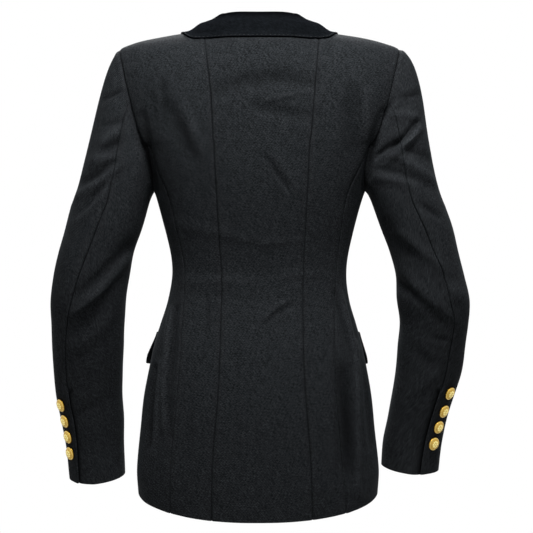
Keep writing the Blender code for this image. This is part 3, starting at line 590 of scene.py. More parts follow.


# The collar and lapels use a darker copy of the cloth as painted shade, and it has no sheen.
cloths = {
    "wool_twill": woolTwill("charcoalWoolTwill", "#0C0D0E", "#1B1D1F", "#3F4245", 0.03, "#9AA6AF"),
    "collar_cloth": woolTwill("shadedWoolTwill", "#050608", "#0C0E10", "#212428", 0.0, "#8C97A0"),
}
buttonMetal = giltBrass()
seamThread = sewingThread()
print("materials made")


# Sheets of cloth

surfaces = {}    # the outer face of each finished sheet, to lay other pieces on


def linkPiece(name, data):
    piece = bpy.data.objects.new(name, data)
    bpy.context.scene.collection.objects.link(piece)
    return piece


def ownMesh(name, vertices, faces, made):
    mesh = bpy.data.meshes.new(name)
    mesh.from_pydata(vertices, [], faces)
    mesh.materials.append(made)
    mesh.shade_smooth()
    return mesh


def giveValues(mesh, name, kind, values):
    field = "vector" if kind == "FLOAT_VECTOR" else "value"
    mesh.attributes.new(name, kind, "POINT").data.foreach_set(field, np.ravel(values))


def gridQuads(rows, columns):
    index = np.arange(rows * columns).reshape(rows, columns)
    return np.stack([index[:-1, :-1], index[:-1, 1:], index[1:, 1:], index[1:, :-1]], -1).reshape(-1, 4)


def pastSeams(grid, fold, seams):
    # carries the cloth a little on and down past its seams, under its neighbours, as allowances do
    for name in seams:
        axis = 1 if name in ("first", "last") else 0
        edge, inner = (0, 1) if name in ("first", "bottom") else (-1, -2)
        line = np.take(grid, [edge], axis)
        past = line + unit(line - np.take(grid, [inner], axis)) * cloth["allowance"]
        order = slice(None, None, -1 if edge == 0 else 1)
        grid = np.concatenate([grid, past][order], axis)
        fold = np.concatenate([fold, np.take(fold, [edge], axis)][order], axis)
    return grid, fold


def makeSheet(name, node, grid, outward, slot, fold=None, seams=()):
    # a cut piece: its outer face through the grid, its wall inside it
    grid, fold = pastSeams(grid, fold, seams)
    quads = gridQuads(*grid.shape[:2])
    if outward < 0:
        quads = quads[:, ::-1]
    vertices, faces = grid.reshape(-1, 3).tolist(), quads.tolist()
    mesh = ownMesh(name, vertices, faces, cloths[slot])
    surfaces[name] = BVHTree.FromPolygons(vertices, faces)
    # grain: metres across and along the cut piece, so that the weave follows the cloth
    across, along, middle = lengthsAlong(grid, 1), lengthsAlong(grid, 0), grid.shape[1] // 2
    across = outward * (across - across[:, middle][:, None])
    grain = np.stack([across, along - along[:, middle].mean()], -1).reshape(-1, 2)
    corners = np.zeros(len(mesh.loops), int)
    mesh.loops.foreach_get("vertex_index", corners)
    mesh.uv_layers.new(name="grain").data.foreach_set("uv", grain[corners].ravel())
    if fold is not None:
        giveValues(mesh, "fold", "FLOAT", fold)
    piece = linkPiece(name, mesh)
    wall = piece.modifiers.new("wall", "SOLIDIFY")
    wall.thickness, wall.offset = cloth["wall"], -1
    edge = piece.modifiers.new("edge", "BEVEL")
    edge.width, edge.segments = cloth["edgeRound"], 2
    edge.limit_method, edge.angle_limit = "ANGLE", radians(60)
    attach(piece, "root")
    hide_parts(node)


# Body panels

bodyCreases = table(creaseColumns, plain="face lower", rows=[
    (1, 133, -75, 130, -142, 0, 4.8, 1, -3.4), (1, 148, -95, 143, -136, 0, 6.8, 1, -2.8),
    (1, 123, -113, 91, -185, 1.4, 10.2, 1, -4.4), (1, 110, -106, 80, -174, 0, 8.1, 1, 2.3),
    (1, 50, -92, -72, -84, -10.8, 11.5, 1, -4), (1, -12, -107, -72, -92, 0, 3.4, 1, 1.9),
    (1, 2, -117, -63, -129, 0, 8.1, 1, -3), (1, -11, -184, -39, -225, 1.4, 3, 1, -2.7),
    (1, -17, -174, -50, -223, 0, 6.8, 1, 1.7), (1, -137, -85, -139, -125, 0, 3.5, 1, -3.4),
    (1, -148, -89, -150, -140, 0, 8.1, 1, 2.8), (1, -126, -99, -128, -174, 0, 12.2, 1, -4.2),
    (1, 108, -275, -15, -301, 0, 8.2, 1, 1.2), (1, -4, -300, -56, -296, 0, 4.1, 1, 0.9),
    (1, -28, -345, -83, -342, 0, 5.5, 1, 1.1), (1, 101, -351, -4, -353, 0, 6.8, 1, 1.1),
    (1, 108, -366, 12, -377, 0, 6.8, 1, -0.8), (1, 72, -375, 71, -423, 0, 3.4, 1, -2.5),
    (1, -7, -404, -39, -379, -2.7, 3.4, 1, 2.1), (1, -9, -412, -45, -385, -2.7, 4.1, 1, -1.9),
    (1, 30, -438, 28, -587, 0, 3.4, 1, -1.7), (1, 92, -498, 93, -588, 0, 4, 1, -1.5),
    (1, 116, -393, 122, -564, -4.1, 4.1, 1, -6.1), (1, 123, -393, 129, -554, -4.1, 3.4, 1, 4.6),
    (1, 115, -418, 118, -474, 0, 4.1, 1, -2.3), (1, 136, -466, 145, -591, 0, 3.5, 1, 4.6),
    (1, 145, -474, 152, -578, 0, 4, 1, -5.3), (1, -113, -366, -132, -447, 0, 2.7, 1, 3.4),
    (1, -106, -372, -126, -447, 0, 4.1, 1, -3.8), (1, -124, -377, -138, -438, 0, 3.4, 1, -3),
    (1, -116, -482, -123, -609, 0, 11.5, 1, -9.9), (1, -135, -438, -136, -644, 0, 3.4, 1, 4.9),
    (1, -147, -474, -155, -578, 0, 5.4, 1, -3.8), (1, -172, -117, -145, -223, -4.1, 4.9, 1, -4.6),
    (1, 160, -123, 142, -225, 0, 4.9, 1, -4.6), (-1, 50, -332, 115, -352, 3, 9, 0.8, -3.7),
    (-1, 60, -356, 110, -378, 2, 8, 0.8, 2.7), (-1, -45, -330, -112, -350, -3, 9, 0.8, -3.7),
    (-1, -62, -354, -108, -374, -2, 8, 0.8, 2.7), (-1, 125, -110, 108, -200, 4, 11, 1, -4.4),
    (-1, -127, -105, -108, -195, -4, 11, 1, -4.4), (-1, 30, -520, 40, -665, 3, 15, 1, 2),
    (-1, -82, -500, -90, -660, -3, 14, 1, -2.7),
])

# Flat widths in metres, and how much painted shade each seam gets below and above the armhole's foot
panels = {
    "backCentre": dict(width=0.134, seed=11, shades=(("first", 0.4, 0.5), ("last", 0.4, 0.5))),
    "backSide": dict(width=0.075, seed=21, shades=(("first", 0.4, 0.5), ("last", 0.3, 1.0))),
    "front": dict(width=0.215, seed=31, shades=(("last", 0.3, 1.0),)),
    "side": dict(width=0.190, seed=41, shades=(("first", 0.3, 0.3), ("last", 0.3, 0.3),
                                               ("top", 1.0, 1.0))),
}


def sewPanel(kind, label, node, grid, outward, extra=0):
    # gives a smooth grid its creases and seams, and returns how it then lies
    panel = panels[kind]
    seams = ("last", "top") if kind == "front" else ("first", "last", "top")
    grid = lie(grid, outward, bodyCreases, seams, panel["seed"], extra)
    makeSheet(kind + label, node + label, grid, outward, "wool_twill",
              foldShade(grid, outward, bodyCreases, panel["shades"]), seams)
    return grid


columns = {kind: steps(panel["width"], first=kind != "front") for kind, panel in panels.items()}
sewPanel("backCentre", "", "back_centre",
         backGrid(blend(-princessShares(-1), princessShares(1), columns["backCentre"]), 1), -1)
armholes = {}
for label, side in bothSides.items():
    backSide = sewPanel("backSide", label, "back_side_",
                        backGrid(blend(princessShares(side), 1, columns["backSide"]), side), -side)
    smooth, lift = frontGrid(columns["front"], side)
    frontPanel = sewPanel("front", label, "front_", smooth, side, lift)
    smooth = sideGrid(columns["side"], side, backSide[:, -1], frontPanel[:, -1])
    armholes[label] = (backSide, frontPanel, sewPanel("side", label, "side_", smooth, -side))
print("body panels cut and sewn")


# Sleeves, set into the armholes that the body panels leave

# For each height of a sleeve: outer and inner edge, mid-depth, half depth, and where its back seam
# runs in degrees.
sleeveColumns = "z outer inner middleY halfDepth backSeam"
sleeves = {
    "L": dict(side=1, leave=0.42, topDrop=-0.60, spread=0.14, cuff=-0.638, cuffDrop=0.005,
              cuffLift=0.005, ventShade=0.0036, rows=table(sleeveColumns, plain="backSeam", rows=[
        (-245, 266.5, 157.5, 1, 62, -2), (-277, 274.4, 166.6, 2, 61, 2),
        (-311, 284.4, 178, 1, 60, 4.5), (-345, 291.7, 183.8, 0, 59, 11.5),
        (-379, 296.3, 189.7, -2, 57, 18), (-414, 296.2, 193.4, -11, 55, 26),
        (-448, 296.1, 194.3, -19, 53, 30.5), (-484, 295.9, 196.6, -28, 51, 30.5),
        (-519, 292.8, 198.9, -36, 49, 29), (-554, 286.7, 196.8, -44, 47, 28.5),
        (-590, 281.8, 197.4, -50, 45, 30), (-640, 276.5, 196.2, -56, 44, 35),
    ])),
    "R": dict(side=-1, leave=0.58, topDrop=-0.30, spread=0.08, cuff=-0.626, cuffDrop=0.003,
              cuffLift=0.006, ventShade=0.0052, rows=table(sleeveColumns, plain="backSeam", rows=[
        (-245, 262.5, 161, 1, 61, 0), (-277, 273.2, 172.4, 2, 60, 4), (-311, 281.7, 185.2, 1, 58, 8),
        (-345, 290.4, 193.9, 0, 57, 15), (-379, 297.8, 195.5, -2, 56, 19.5),
        (-414, 297.6, 200.6, -11, 54, 26), (-448, 294.6, 198.5, -19, 52, 24.5),
        (-484, 290, 196.4, -28, 50, 22), (-519, 279.6, 191.4, -36, 48, 21),
        (-554, 270.5, 186.3, -44, 46, 19), (-590, 264, 179.6, -50, 45, 18),
        (-640, 259, 177, -55, 44, 15),
    ])),
}

# Both sleeves: the form from the armhole to the bicep, the roll at the armhole, and the cuff's vent,
# where the under sleeve goes on beneath the upper one.
sleeveForm = dict(bicep=-0.245, section=2.1, frontSeam=216, upperWidth=0.215, underWidth=0.150,
                  outward=0.40, outTop=0.60, outUnder=0.35, down=-0.45, round=0.12, arrive=1.05,
                  arriveDrop=0.02, headPower=1.25, backStart=0.43, frontStart=0.20,
                  headRows=52, armRows=140,
                  roll=0.0009, rollAt=0.0060, rollWidth=0.0055, rollFrom=0.002, underRoll=0.4,
                  ventTop=-0.500, ventFade=0.010, ventStep=0.0016, ventEdge=0.008, underlap=0.20,
                  tuck=0.0016, tuckTo=0.013, ventAt=0.0105, seamless=0.8, seamlessTo=(0.004, 0.040),
                  heldFor=0.006, seed=51,
                  # painted shade along each seam, below and above the armhole's foot
                  shades=(("first", 0.5, 0.3), ("last", 0.5, 0.3), ("bottom", 0.0, 0.9)))

sleeveCreases = table(creaseColumns, plain="face lower", rows=[
    (1, 216, -98, 191, -87, 0.7, 3, 0.8, -4.6), (1, 215, -136, 190, -130, 1.4, 4.8, 1, -3.2),
    (1, 195, -144, 231, -184, -2.8, 6.9, 1, 4.4), (1, 195, -161, 224, -173, 1.4, 6.9, 0.8, -5.3),
    (1, 191, -179, 224, -186, 0, 4.8, 1, 2.6), (1, 202, -190, 246, -216, 2.1, 5.5, 0.9, -4.9),
    (1, 191, -190, 252, -233, 4.1, 6.2, 1, 5.3), (1, 209, -209, 247, -258, 2.8, 4.8, 1, -4.4),
    (1, 206, -218, 253, -269, 2.8, 5.5, 1, 3.2), (1, 181, -303, 248, -370, 2.8, 8.3, 0.9, -4.9),
    (1, 181, -318, 257, -397, 4.8, 6.2, 0.8, 6), (1, 187, -327, 220, -364, 1.4, 3.4, 1, -1.8),
    (1, 189, -339, 244, -417, 2.8, 9, 1, -3), (1, 207, -403, 261, -448, 2.8, 9.7, 1, 1.9),
    (1, 205, -434, 259, -464, 0, 8.4, 1, -0.7), (1, 223, -521, 258, -543, 1.4, 6.3, 1, -1.6),
    (1, 172, -112, 147, -209, 0, 5.5, 1, -6.3), (1, -195, -97, -224, -90, 1.4, 3.6, 1, -3.9),
    (1, -190, -115, -209, -103, 0, 4.8, 1, -2.4), (1, -189, -121, -221, -126, -1.4, 5.5, 1, 4.4),
    (1, -163, -179, -195, -158, -2.1, 3.9, 0.8, -6), (1, -186, -165, -221, -129, 2.1, 4.1, 0.8, -5.3),
    (1, -183, -182, -222, -140, 1.4, 5.5, 1, 7), (1, -197, -169, -239, -184, -1.4, 5.8, 0.9, -3.7),
    (1, -192, -182, -243, -214, -2.1, 5.5, 1, 5.6), (1, -165, -197, -236, -222, -2.8, 5.5, 1, -4.2),
    (1, -164, -207, -222, -220, 0, 6.9, 1, 3.5), (1, -223, -247, -249, -263, 0, 5.5, 1, -4.4),
    (1, -191, -285, -252, -334, -1.4, 8.3, 1, 3.9), (1, -173, -270, -211, -317, 0, 9.7, 1, -3.5),
    (1, -194, -334, -274, -407, 2.8, 8.3, 1, 3.3), (1, -186, -342, -217, -375, 0, 6.2, 1, -3.3),
    (1, -208, -367, -259, -413, 0, 5.5, 1, -1.6), (1, -243, -431, -263, -435, 0, 3.9, 1, -1.9),
    (1, -266, -361, -282, -375, 0, 11, 1, 2.8), (1, -223, -508, -253, -475, 0, 8.4, 1, 2.4),
    (1, -217, -448, -250, -479, 0, 8.4, 1, -2.1), (1, -184, -103, -154, -207, -7.6, 3.3, 1, -4.6),
    (-1, 202, -346, 264, -364, 4, 9, 1, -7.5), (-1, 202, -320, 260, -334, 3, 9, 0.7, 6.1),
    (-1, 205, -372, 252, -396, 3, 8.5, 0.7, 5.1), (-1, 195, -150, 245, -205, 6, 10, 0.8, 4.4),
    (-1, 190, -190, 235, -235, 4, 8, 1, -3.4), (-1, -202, -342, -264, -358, -4, 9, 1, -7.5),
    (-1, -206, -317, -260, -324, -2, 9, 0.7, 6.1), (-1, -207, -368, -256, -396, -3, 8, 0.7, 4.8),
    (-1, -196, -145, -242, -200, -6, 9.5, 0.8, 4.8), (-1, -190, -185, -230, -230, -4, 8, 1, -3.7),
])


def sleeveRing(sleeve, angle, z):
    # a sleeve below its head: angle 0 is its back, 90 its outer side, 180 its front
    rows, side, bicep = sleeve["rows"], sleeve["side"], sleeveForm["bicep"]
    outer, inner = read(rows, z, "outer"), read(rows, z, "inner")
    s, c, power = np.sin(angle), np.cos(angle), 2 / sleeveForm["section"]
    x = (outer + inner) / 2 + (outer - inner) / 2 * rounded(s, power)
    y = read(rows, z, "middleY") + read(rows, z, "halfDepth") * rounded(c, power)
    near = ease((bicep - z) / (bicep - sleeve["cuff"]))
    tilt = near * (sleeve["cuffLift"] * np.maximum(0, -s) - sleeve["cuffDrop"] * np.maximum(0, c))
    return stacked(side * x, y, z + tilt)


def sleeveGrid(sleeve, starts, fractions, seamAngles):
    # rows from the armhole's points down to the cuff; seamAngles gives a piece's two seams at z
    side, form = sleeve["side"], sleeveForm
    angle = blend(*seamAngles(form["bicep"]), fractions)
    end, below = (sleeveRing(sleeve, angle, form["bicep"] - drop) for drop in (0, form["arriveDrop"]))
    reach = np.linalg.norm(end - starts, axis=-1, keepdims=True)
    up, under = np.maximum(0, np.sin(angle)), np.maximum(0, -np.sin(angle))
    outward = form["outward"] + form["outTop"] * up + form["outUnder"] * under
    leave = unit(stacked(side * outward, form["round"] * np.cos(angle),
                         blend(form["down"], sleeve["topDrop"], up))) * reach * sleeve["leave"]
    arrive = unit(unit(below - end) + stacked(side * sleeve["spread"] * up, 0, 0))
    t = (np.linspace(0, 1, form["headRows"]) ** form["headPower"])[:, None, None]
    head = hermite(starts, leave, end, arrive * reach * form["arrive"], t)
    z = np.linspace(form["bicep"], sleeve["cuff"], form["armRows"])[1:, None]
    first, last = seamAngles(z)
    return np.concatenate([head, sleeveRing(sleeve, blend(first, last, fractions), z)])


def inVent(z):
    return ramp(-z, -sleeveForm["ventTop"], sleeveForm["ventFade"] - sleeveForm["ventTop"])


def sewSleeve(label):
    sleeve, form = sleeves[label], sleeveForm
    side = sleeve["side"]
    backSide, frontPanel, sidePanel = armholes[label]
    yokeRow = cloth["rowsBelow"] - 1
    backEdge, frontEdge = backSide[yokeRow:, -1], frontPanel[yokeRow:, -1]
    allRises = np.concatenate([[0], rises[:, 0]])
    backStart, frontStart = np.searchsorted(allRises, (form["backStart"], form["frontStart"]))
    lower = np.concatenate([frontEdge[1:frontStart + 1][::-1], sidePanel[-1][::-1],
                            backEdge[1:backStart + 1]])

    def backAngle(z):
        return np.radians(read(sleeve["rows"], z, "backSeam"))

    frontAngle = radians(form["frontSeam"])
    first = backAngle(form["bicep"])
    top = float((pi / 2 - first) / (frontAngle - first))
    shares = {"sleeveUpper": steps(form["upperWidth"]), "sleeveUnder": steps(form["underWidth"])}
    fractions = shares["sleeveUpper"]
    starts = {
        "sleeveUpper": np.where((fractions <= top)[:, None],
                                alongLine(backEdge[backStart:], fractions / top),
                                alongLine(frontEdge[frontStart:][::-1], (fractions - top) / (1 - top))),
        "sleeveUnder": alongLine(lower, shares["sleeveUnder"]),
    }
    angles = {
        "sleeveUpper": lambda z: (backAngle(z), frontAngle),
        "sleeveUnder": lambda z: (frontAngle, tau + backAngle(z) + form["underlap"] * inVent(z)),
    }
    for name in shares:
        upper = name == "sleeveUpper"
        grid = sleeveGrid(sleeve, starts[name], shares[name], angles[name])
        edges = edgeDistances(grid)
        fromArmhole, back = edges["bottom"][0], edges["first" if upper else "last"][0]
        roll = form["roll"] * bell(fromArmhole - form["rollAt"], form["rollWidth"])
        # below the vent's top the upper sleeve's edge lies over the under sleeve
        vent = inVent(grid[..., 2])
        if upper:
            raised = form["ventStep"] * bell(back, form["ventEdge"])
        else:
            roll = form["underRoll"] * roll
            raised = -form["tuck"] * (1 - ramp(back, form["ventEdge"], form["tuckTo"]))
        # the back seam isn't pressed in at the vent, and only a little at the armhole
        soft = form["seamless"] * (1 - ramp(fromArmhole, *form["seamlessTo"]))
        cancel = seamOut(back, edges["first"][1], grid, form["seed"]) * np.maximum(vent, soft)
        extra = roll * ramp(fromArmhole, 0, form["rollFrom"]) + vent * raised - cancel
        # at the armhole the sleeve stays on the body's own edge
        held = (1 - ramp(fromArmhole, 0, form["heldFor"]))[..., None]
        grid = blend(lie(grid, side, sleeveCreases, ("first", "last"), form["seed"], extra), grid, held)
        fold = foldShade(grid, side, sleeveCreases, form["shades"])
        # painted shade: none on the upper sleeve in the vent, and a painted shadow on the under sleeve
        # beside the upper sleeve's edge
        if upper:
            fold = fold * (1 - vent)
        else:
            fold = np.maximum(fold, vent * bell(back - form["ventAt"] * vent, sleeve["ventShade"]))
        makeSheet(name + label, "sleeve_%s_%s" % (name[6:].lower(), label), grid, side, "wool_twill",
                  fold, ("first", "last", "bottom"))


for label in sleeves:
    sewSleeve(label)
print("sleeves set in")


def overSheet(name, point):
    # how far a point is from a sheet, how far out over it, and the sheet's way out there
    place, normal, _, distance = surfaces[name].find_nearest(Vector(point))
    return distance, (Vector(point) - place).dot(normal), np.array(normal)


def laidOn(names, points, gap):
    # moves points out where they are nearer than the gap to the sheets below them
    moved = np.array(points, float)
    flat = moved.reshape(-1, 3)
    for i, point in enumerate(flat):
        for name in names:
            distance, over, normal = overSheet(name, point)
            if distance < cloth["nearBy"] and over < gap:
                flat[i] = flat[i] + normal * (gap - over)
    return moved


def pressedOn(names, points, gap, shares):
    # brings points in to the gap over the sheets below them, by a share for each
    moved = np.array(points, float)
    flat, each = moved.reshape(-1, 3), np.broadcast_to(shares, moved.shape[:-1]).ravel()
    for i, point in enumerate(flat):
        _, over, normal = min((overSheet(name, point) for name in names), key=lambda found: found[0])
        if over > gap:
            flat[i] = flat[i] - normal * (over - gap) * each[i]
    return moved


# Lapels: the facing turned back over the front, round its roll line

# The cloth goes round the roll in a few columns, each so far inside the roll line and so far out.
lapel = dict(out=0.0011, roll=0.0010, topZ=-0.0485, foot=0.014, inset=0.0015, width=0.10,
             notchShare=0.667, notchDrop=0.0085, notchStart=0.7, rows=90, under=0.0006,
             aroundIn=(0.0040, 0.0038, 0.0026, 0.0012), aroundOut=(0.45, 0.82, 0.96),
             edge=table("z x", [(-262, -66), (-225, 6), (-175, 60), (-120, 96), (-46, 119)]))


def turnLapel(label, side):
    edge, wall = lapel["edge"], cloth["wall"]
    t = np.linspace(0, 1, lapel["rows"])[:, None]
    s = steps(lapel["width"], first=False)
    innerZ = blend(body["lapelBreak"] + lapel["foot"], lapel["topZ"], t)
    outerZ = blend(edge[0].z, edge[-1].z, t)
    innerX, outerX = rollX(innerZ) + lapel["inset"], read(edge, outerZ, "x")
    notch = lapel["notchShare"]
    dip = np.minimum(s / notch, (1 - s) / (1 - notch)) * ramp(t, lapel["notchStart"], 1)
    x, z = blend(innerX, outerX, s), blend(innerZ, outerZ, s) - lapel["notchDrop"] * dip
    out = lapel["out"] + wall + lapel["roll"] * (1 - s) ** 2 + 0 * x
    # more columns carry the cloth round the roll, onto the front's cut edge
    count, full = len(lapel["aroundIn"]), out[:, :1]
    x = np.concatenate([x[:, :1] - inside for inside in lapel["aroundIn"]] + [x], 1)
    z = np.concatenate([z[:, :1]] * count + [z], 1)
    out = np.concatenate([0 * full - lapel["under"]] + [full * share for share in lapel["aroundOut"]]
                         + [out], 1)
    points, lift = onFront(x, z, side)
    # those columns are nearly one on another, so normals come from the columns beside them
    normals = normalsOf(points, side)
    normals[:, :count] = normals[:, count + 1][:, None]
    grid = points + normals * (lift + out)[..., None]
    grid[:, count + 1:] = laidOn(["front" + label], grid[:, count + 1:], lapel["out"] + wall)
    makeSheet("lapel" + label, "lapel_" + label, grid, side, "collar_cloth")
    return grid[:, count:]


lapelGrids = {label: turnLapel(label, side) for label, side in bothSides.items()}


# Collar: stand and fall in one sheet, folded along the top and laid on the shoulders

# Its three lines, from the middle of the back, 0, round the left side to the front, 7
collarLines = {
    "neck": table("k x y z", plain="k", rows=[
        (0, 0, 51, -3), (1, 30, 46.3, -2.6), (2, 52, 33, -3), (3, 62, 18, -1), (4, 70, 0, 1.8),
        (5, 66, -37, -5), (6, 56, -69.5, -22.5), (7, 42.5, -89, -46.5),
    ]),
    "fold": table("k x y z", plain="k", rows=[
        (0, 0, 50, 19.4), (1, 33, 45.2, 19.9), (2, 51.5, 30, 20.2), (3, 57.5, 16, 19),
        (4, 60.5, 0, 17.2), (5, 64, -38, 6.5), (6, 54.5, -74.5, -15.5), (7, 42, -95.5, -43),
    ]),
    "edge": table("k x y z", plain="k", rows=[
        (0, 0, 79, -17.8), (1, 42, 76.5, -17.4), (2, 80, 66, -16), (3, 97.5, 55, -14),
        (4, 110.5, 10, -2.4), (5, 113, -42, -8), (6, 113, -71, -31), (7, 94, -87, -52),
    ]),
}
collar = dict(turnIn=0.0012, turnOut=0.0030, belly=0.0016, out=0.0007, sections=110, across=34,
              standShare=0.55, fallFrom=0.58, pressing=1.15, passes=4, creaseShade=0.85,
              creaseWidth=0.008)


def bothHalves(rows):
    return [row._replace(k=-row.k, x=-row.x) for row in rows[:0:-1]] + rows


def smoothLine(points, count):
    # a soft curve through a few points, as evenly spaced points
    points = np.asarray(points)
    ends = np.concatenate([[2 * points[0] - points[1]], points, [2 * points[-1] - points[-2]]])
    fine = []
    for a, b, c, d in zip(ends, ends[1:], ends[2:], ends[3:]):
        t = np.linspace(0, 1, 12, endpoint=False)[:, None]
        fine.append(0.5 * (2 * b + (c - a) * t + (2 * a - 5 * b + 4 * c - d) * t**2
                           + (3 * b - a - 3 * c + d) * t**3))
    return alongLine(np.concatenate(fine + [points[-1:]]), np.linspace(0, 1, count))


def collarSection(k):
    # the collar's section at row k: up the stand, over the fold and down the fall
    up = np.array([0, 0, 1])
    neck, fold, edge = (np.array([float(read(bothHalves(rows), k, axis)) for axis in "xyz"])
                        for rows in collarLines.values())
    out = unit((edge - neck) * (1, 1, 0))
    inner = fold - out * collar["turnIn"] - up * collar["turnOut"]
    outer = fold + out * collar["turnOut"] - up * collar["turnIn"]
    belly = blend(outer, edge, 0.5) + (out + up) * collar["belly"]
    top = blend(inner, outer, 0.5) + up * (collar["turnIn"] + collar["turnOut"]) / 2
    return smoothLine([neck, blend(neck, inner, collar["standShare"]), inner, top, outer,
                       blend(outer, belly, 0.5) + out * collar["belly"] / 4, belly, edge],
                      collar["across"])


def foldCollar():
    half = collarLines["neck"][-1].k
    grid = np.array([collarSection(k) for k in np.linspace(-half, half, collar["sections"])])
    fall = int(collar["across"] * collar["fallFrom"])
    names = ["backCentre", "backSideL", "backSideR", "frontL", "frontR"]
    # the fall is pressed on to the shoulders towards its edge, which keeps its height
    share = ease(np.linspace(0, 1, collar["across"] - fall) * collar["pressing"])[None, :]
    planned, raised = grid[:, fall:].copy(), grid[:, fall:].copy()
    for _ in range(collar["passes"]):
        pressed = pressedOn(names, laidOn(names, raised, collar["out"]), collar["out"], share)
        raised[..., 2] += (planned[:, -1:, 2] - pressed[:, -1:, 2]) * share
    grid[:, fall:] = pressed
    grid = grid + normalsOf(grid, -1) * cloth["wall"]
    # painted shade along the crest of the fold, where the key light from above falls
    fromCrest = grid[..., 2] - grid[..., 2].max(1, keepdims=True)
    makeSheet("foldedCollar", "collar", grid, -1, "collar_cloth",
              collar["creaseShade"] * bell(fromCrest, collar["creaseWidth"]))
    return grid


collarGrid = foldCollar()
print("lapels and collar turned")


# Pocket flaps, rounded at their lower corners

# Angles run round the body from its back, and width is the flap's along the hip; shade is painted shade
# over the whole of each flap.
flap = dict(topZ=-0.424, width=0.15, depth=0.046, angles=(91, 142), slant=0.010, corner=0.012,
            out={"L": 0.0050, "R": 0.0022}, outPower=1.4, wallFrom=0.004, gap=0.0003,
            rows=26, columns=56, shade=0.55)


def layFlap(label, side):
    t = np.linspace(0, 1, flap["rows"])[:, None]
    s = np.linspace(0, 1, flap["columns"])[None, :]
    along, corner = np.minimum(s, 1 - s) * flap["width"], flap["corner"]
    cutAway = corner - np.sqrt(np.maximum(0, corner ** 2 - np.maximum(0, corner - along) ** 2))
    angle = np.radians(blend(*flap["angles"], s)) + 0 * t
    z = flap["topZ"] - (flap["depth"] - cutAway) * t - flap["slant"] * s
    out = (flap["out"][label] * t ** flap["outPower"]
           + cloth["wall"] * ramp(t * flap["depth"], 0, flap["wallFrom"]))
    base = roundBody(angle, z)
    share = base[..., 0] / seamX("sideFront", z)
    lift = np.where((base[..., 1] < 0) & (share < 1), frontLift(share, z, side), 0)
    base[..., 0] *= side
    base = swayed(base)
    grid = base + normalsOf(base, side) * (out + lift)[..., None]
    grid[1:] = laidOn(["front" + label, "side" + label], grid[1:], cloth["wall"] + flap["gap"])
    # each flap is darkened evenly with painted shade
    makeSheet("pocketFlap" + label, "pocket_flap_" + label, grid, side, "wool_twill",
              flap["shade"] + 0 * z)
    return grid


flapGrids = {label: layFlap(label, side) for label, side in bothSides.items()}
print("pocket flaps laid on")


# Buttons: a stamped dome with a roped rim, a ring and an eight-leaved rosette

# A cuff button's place is its height and its angle round the sleeve; gap is under its thread shank.
buttons = dict(cuffRadius=0.0094, frontRadius=0.0112, frontX=0.056,
               frontHeights=(-0.292, -0.365, -0.438), gap=0.0004,
               cuffs={"L": ((-0.526, 49), (-0.549, 48), (-0.572, 47), (-0.596, 47)),
                      "R": ((-0.509, 42), (-0.535, 41), (-0.558, 38), (-0.582, 35))})

# Shares of a button's radius; depths of the rope and of the leaves' veins are shares of their heights.
buttonRelief = dict(dome=0.32, domePower=2.2, stem=0.14, post=0.30, leaves=8, ropes=30,
                    ropeHeight=0.055, ropeAt=0.90, ropeWidth=0.055, ropeDepth=0.38, ropeTwist=9,
                    ringHeight=0.030, ringAt=0.74, ringWidth=0.028,
                    leafHeight=0.075, leafAt=0.40, leafWidth=0.20, leafPower=0.8,
                    veinDepth=0.5, veinWidth=0.05, bossHeight=0.060, bossWidth=0.13,
                    innermost=0.03, flatRim=0.03, rings=34, around=96)
buttonRim = 0.0010    # the rim's thickness in metres


def buttonMesh(radius):
    relief, rim = buttonRelief, buttonRim
    share = np.concatenate([[0], np.linspace(relief["innermost"], 1, relief["rings"])])[:, None]
    angle = np.linspace(0, tau, relief["around"], endpoint=False)[None, :]
    twist = relief["ropeTwist"] * (share - relief["ropeAt"]) / relief["ropeWidth"]
    strands = (1 - relief["ropeDepth"]) + relief["ropeDepth"] * np.cos(relief["ropes"] * angle + twist)
    rope = relief["ropeHeight"] * bell(share - relief["ropeAt"], relief["ropeWidth"]) * strands
    ring = relief["ringHeight"] * bell(share - relief["ringAt"], relief["ringWidth"])
    petal = np.abs(np.cos(relief["leaves"] / 2 * angle)) ** relief["leafPower"]
    leaf = (relief["leafHeight"] * petal * bell(share - relief["leafAt"], relief["leafWidth"])
            * (1 - relief["veinDepth"] * bell(petal - 1, relief["veinWidth"])))
    boss = relief["bossHeight"] * bell(share, relief["bossWidth"])
    raised = (rope + ring + leaf + boss) * ramp(1 - share, 0, relief["flatRim"])
    dome = relief["dome"] * (1 - share ** relief["domePower"])
    post, stem = radius * relief["post"], radius * relief["stem"]
    rows = [(share * radius * np.ones_like(angle), radius * (relief["stem"] + dome + raised) + rim)]
    # round the rim, under the button and down its thread shank
    for ringRadius, level in ((radius, stem + rim / 2), (radius * 0.97, stem),
                              (post * 1.2, stem - 0.0002), (post, stem - 0.0006), (post, 0)):
        rows.append((ringRadius + 0 * angle, level + 0 * angle))
    radii, heights = (np.concatenate(part) for part in zip(*rows))
    grid = stacked(radii * np.cos(angle), radii * np.sin(angle), heights)[1:]
    count, around = grid.shape[:2]
    index = np.arange(count * around).reshape(count, around)
    nextOne = np.roll(index, -1, axis=1)
    faces = np.stack([index[:-1], index[1:], nextOne[1:], nextOne[:-1]], -1).reshape(-1, 4).tolist()
    faces += [index[0].tolist(), index[-1][::-1].tolist()]
    # how raised the relief is, which sets the painted shade in its hollows
    tone = np.zeros((count, around))
    tone[:len(share) - 1] = (raised / relief["leafHeight"])[1:] + 0 * angle
    return grid.reshape(-1, 3), faces, tone


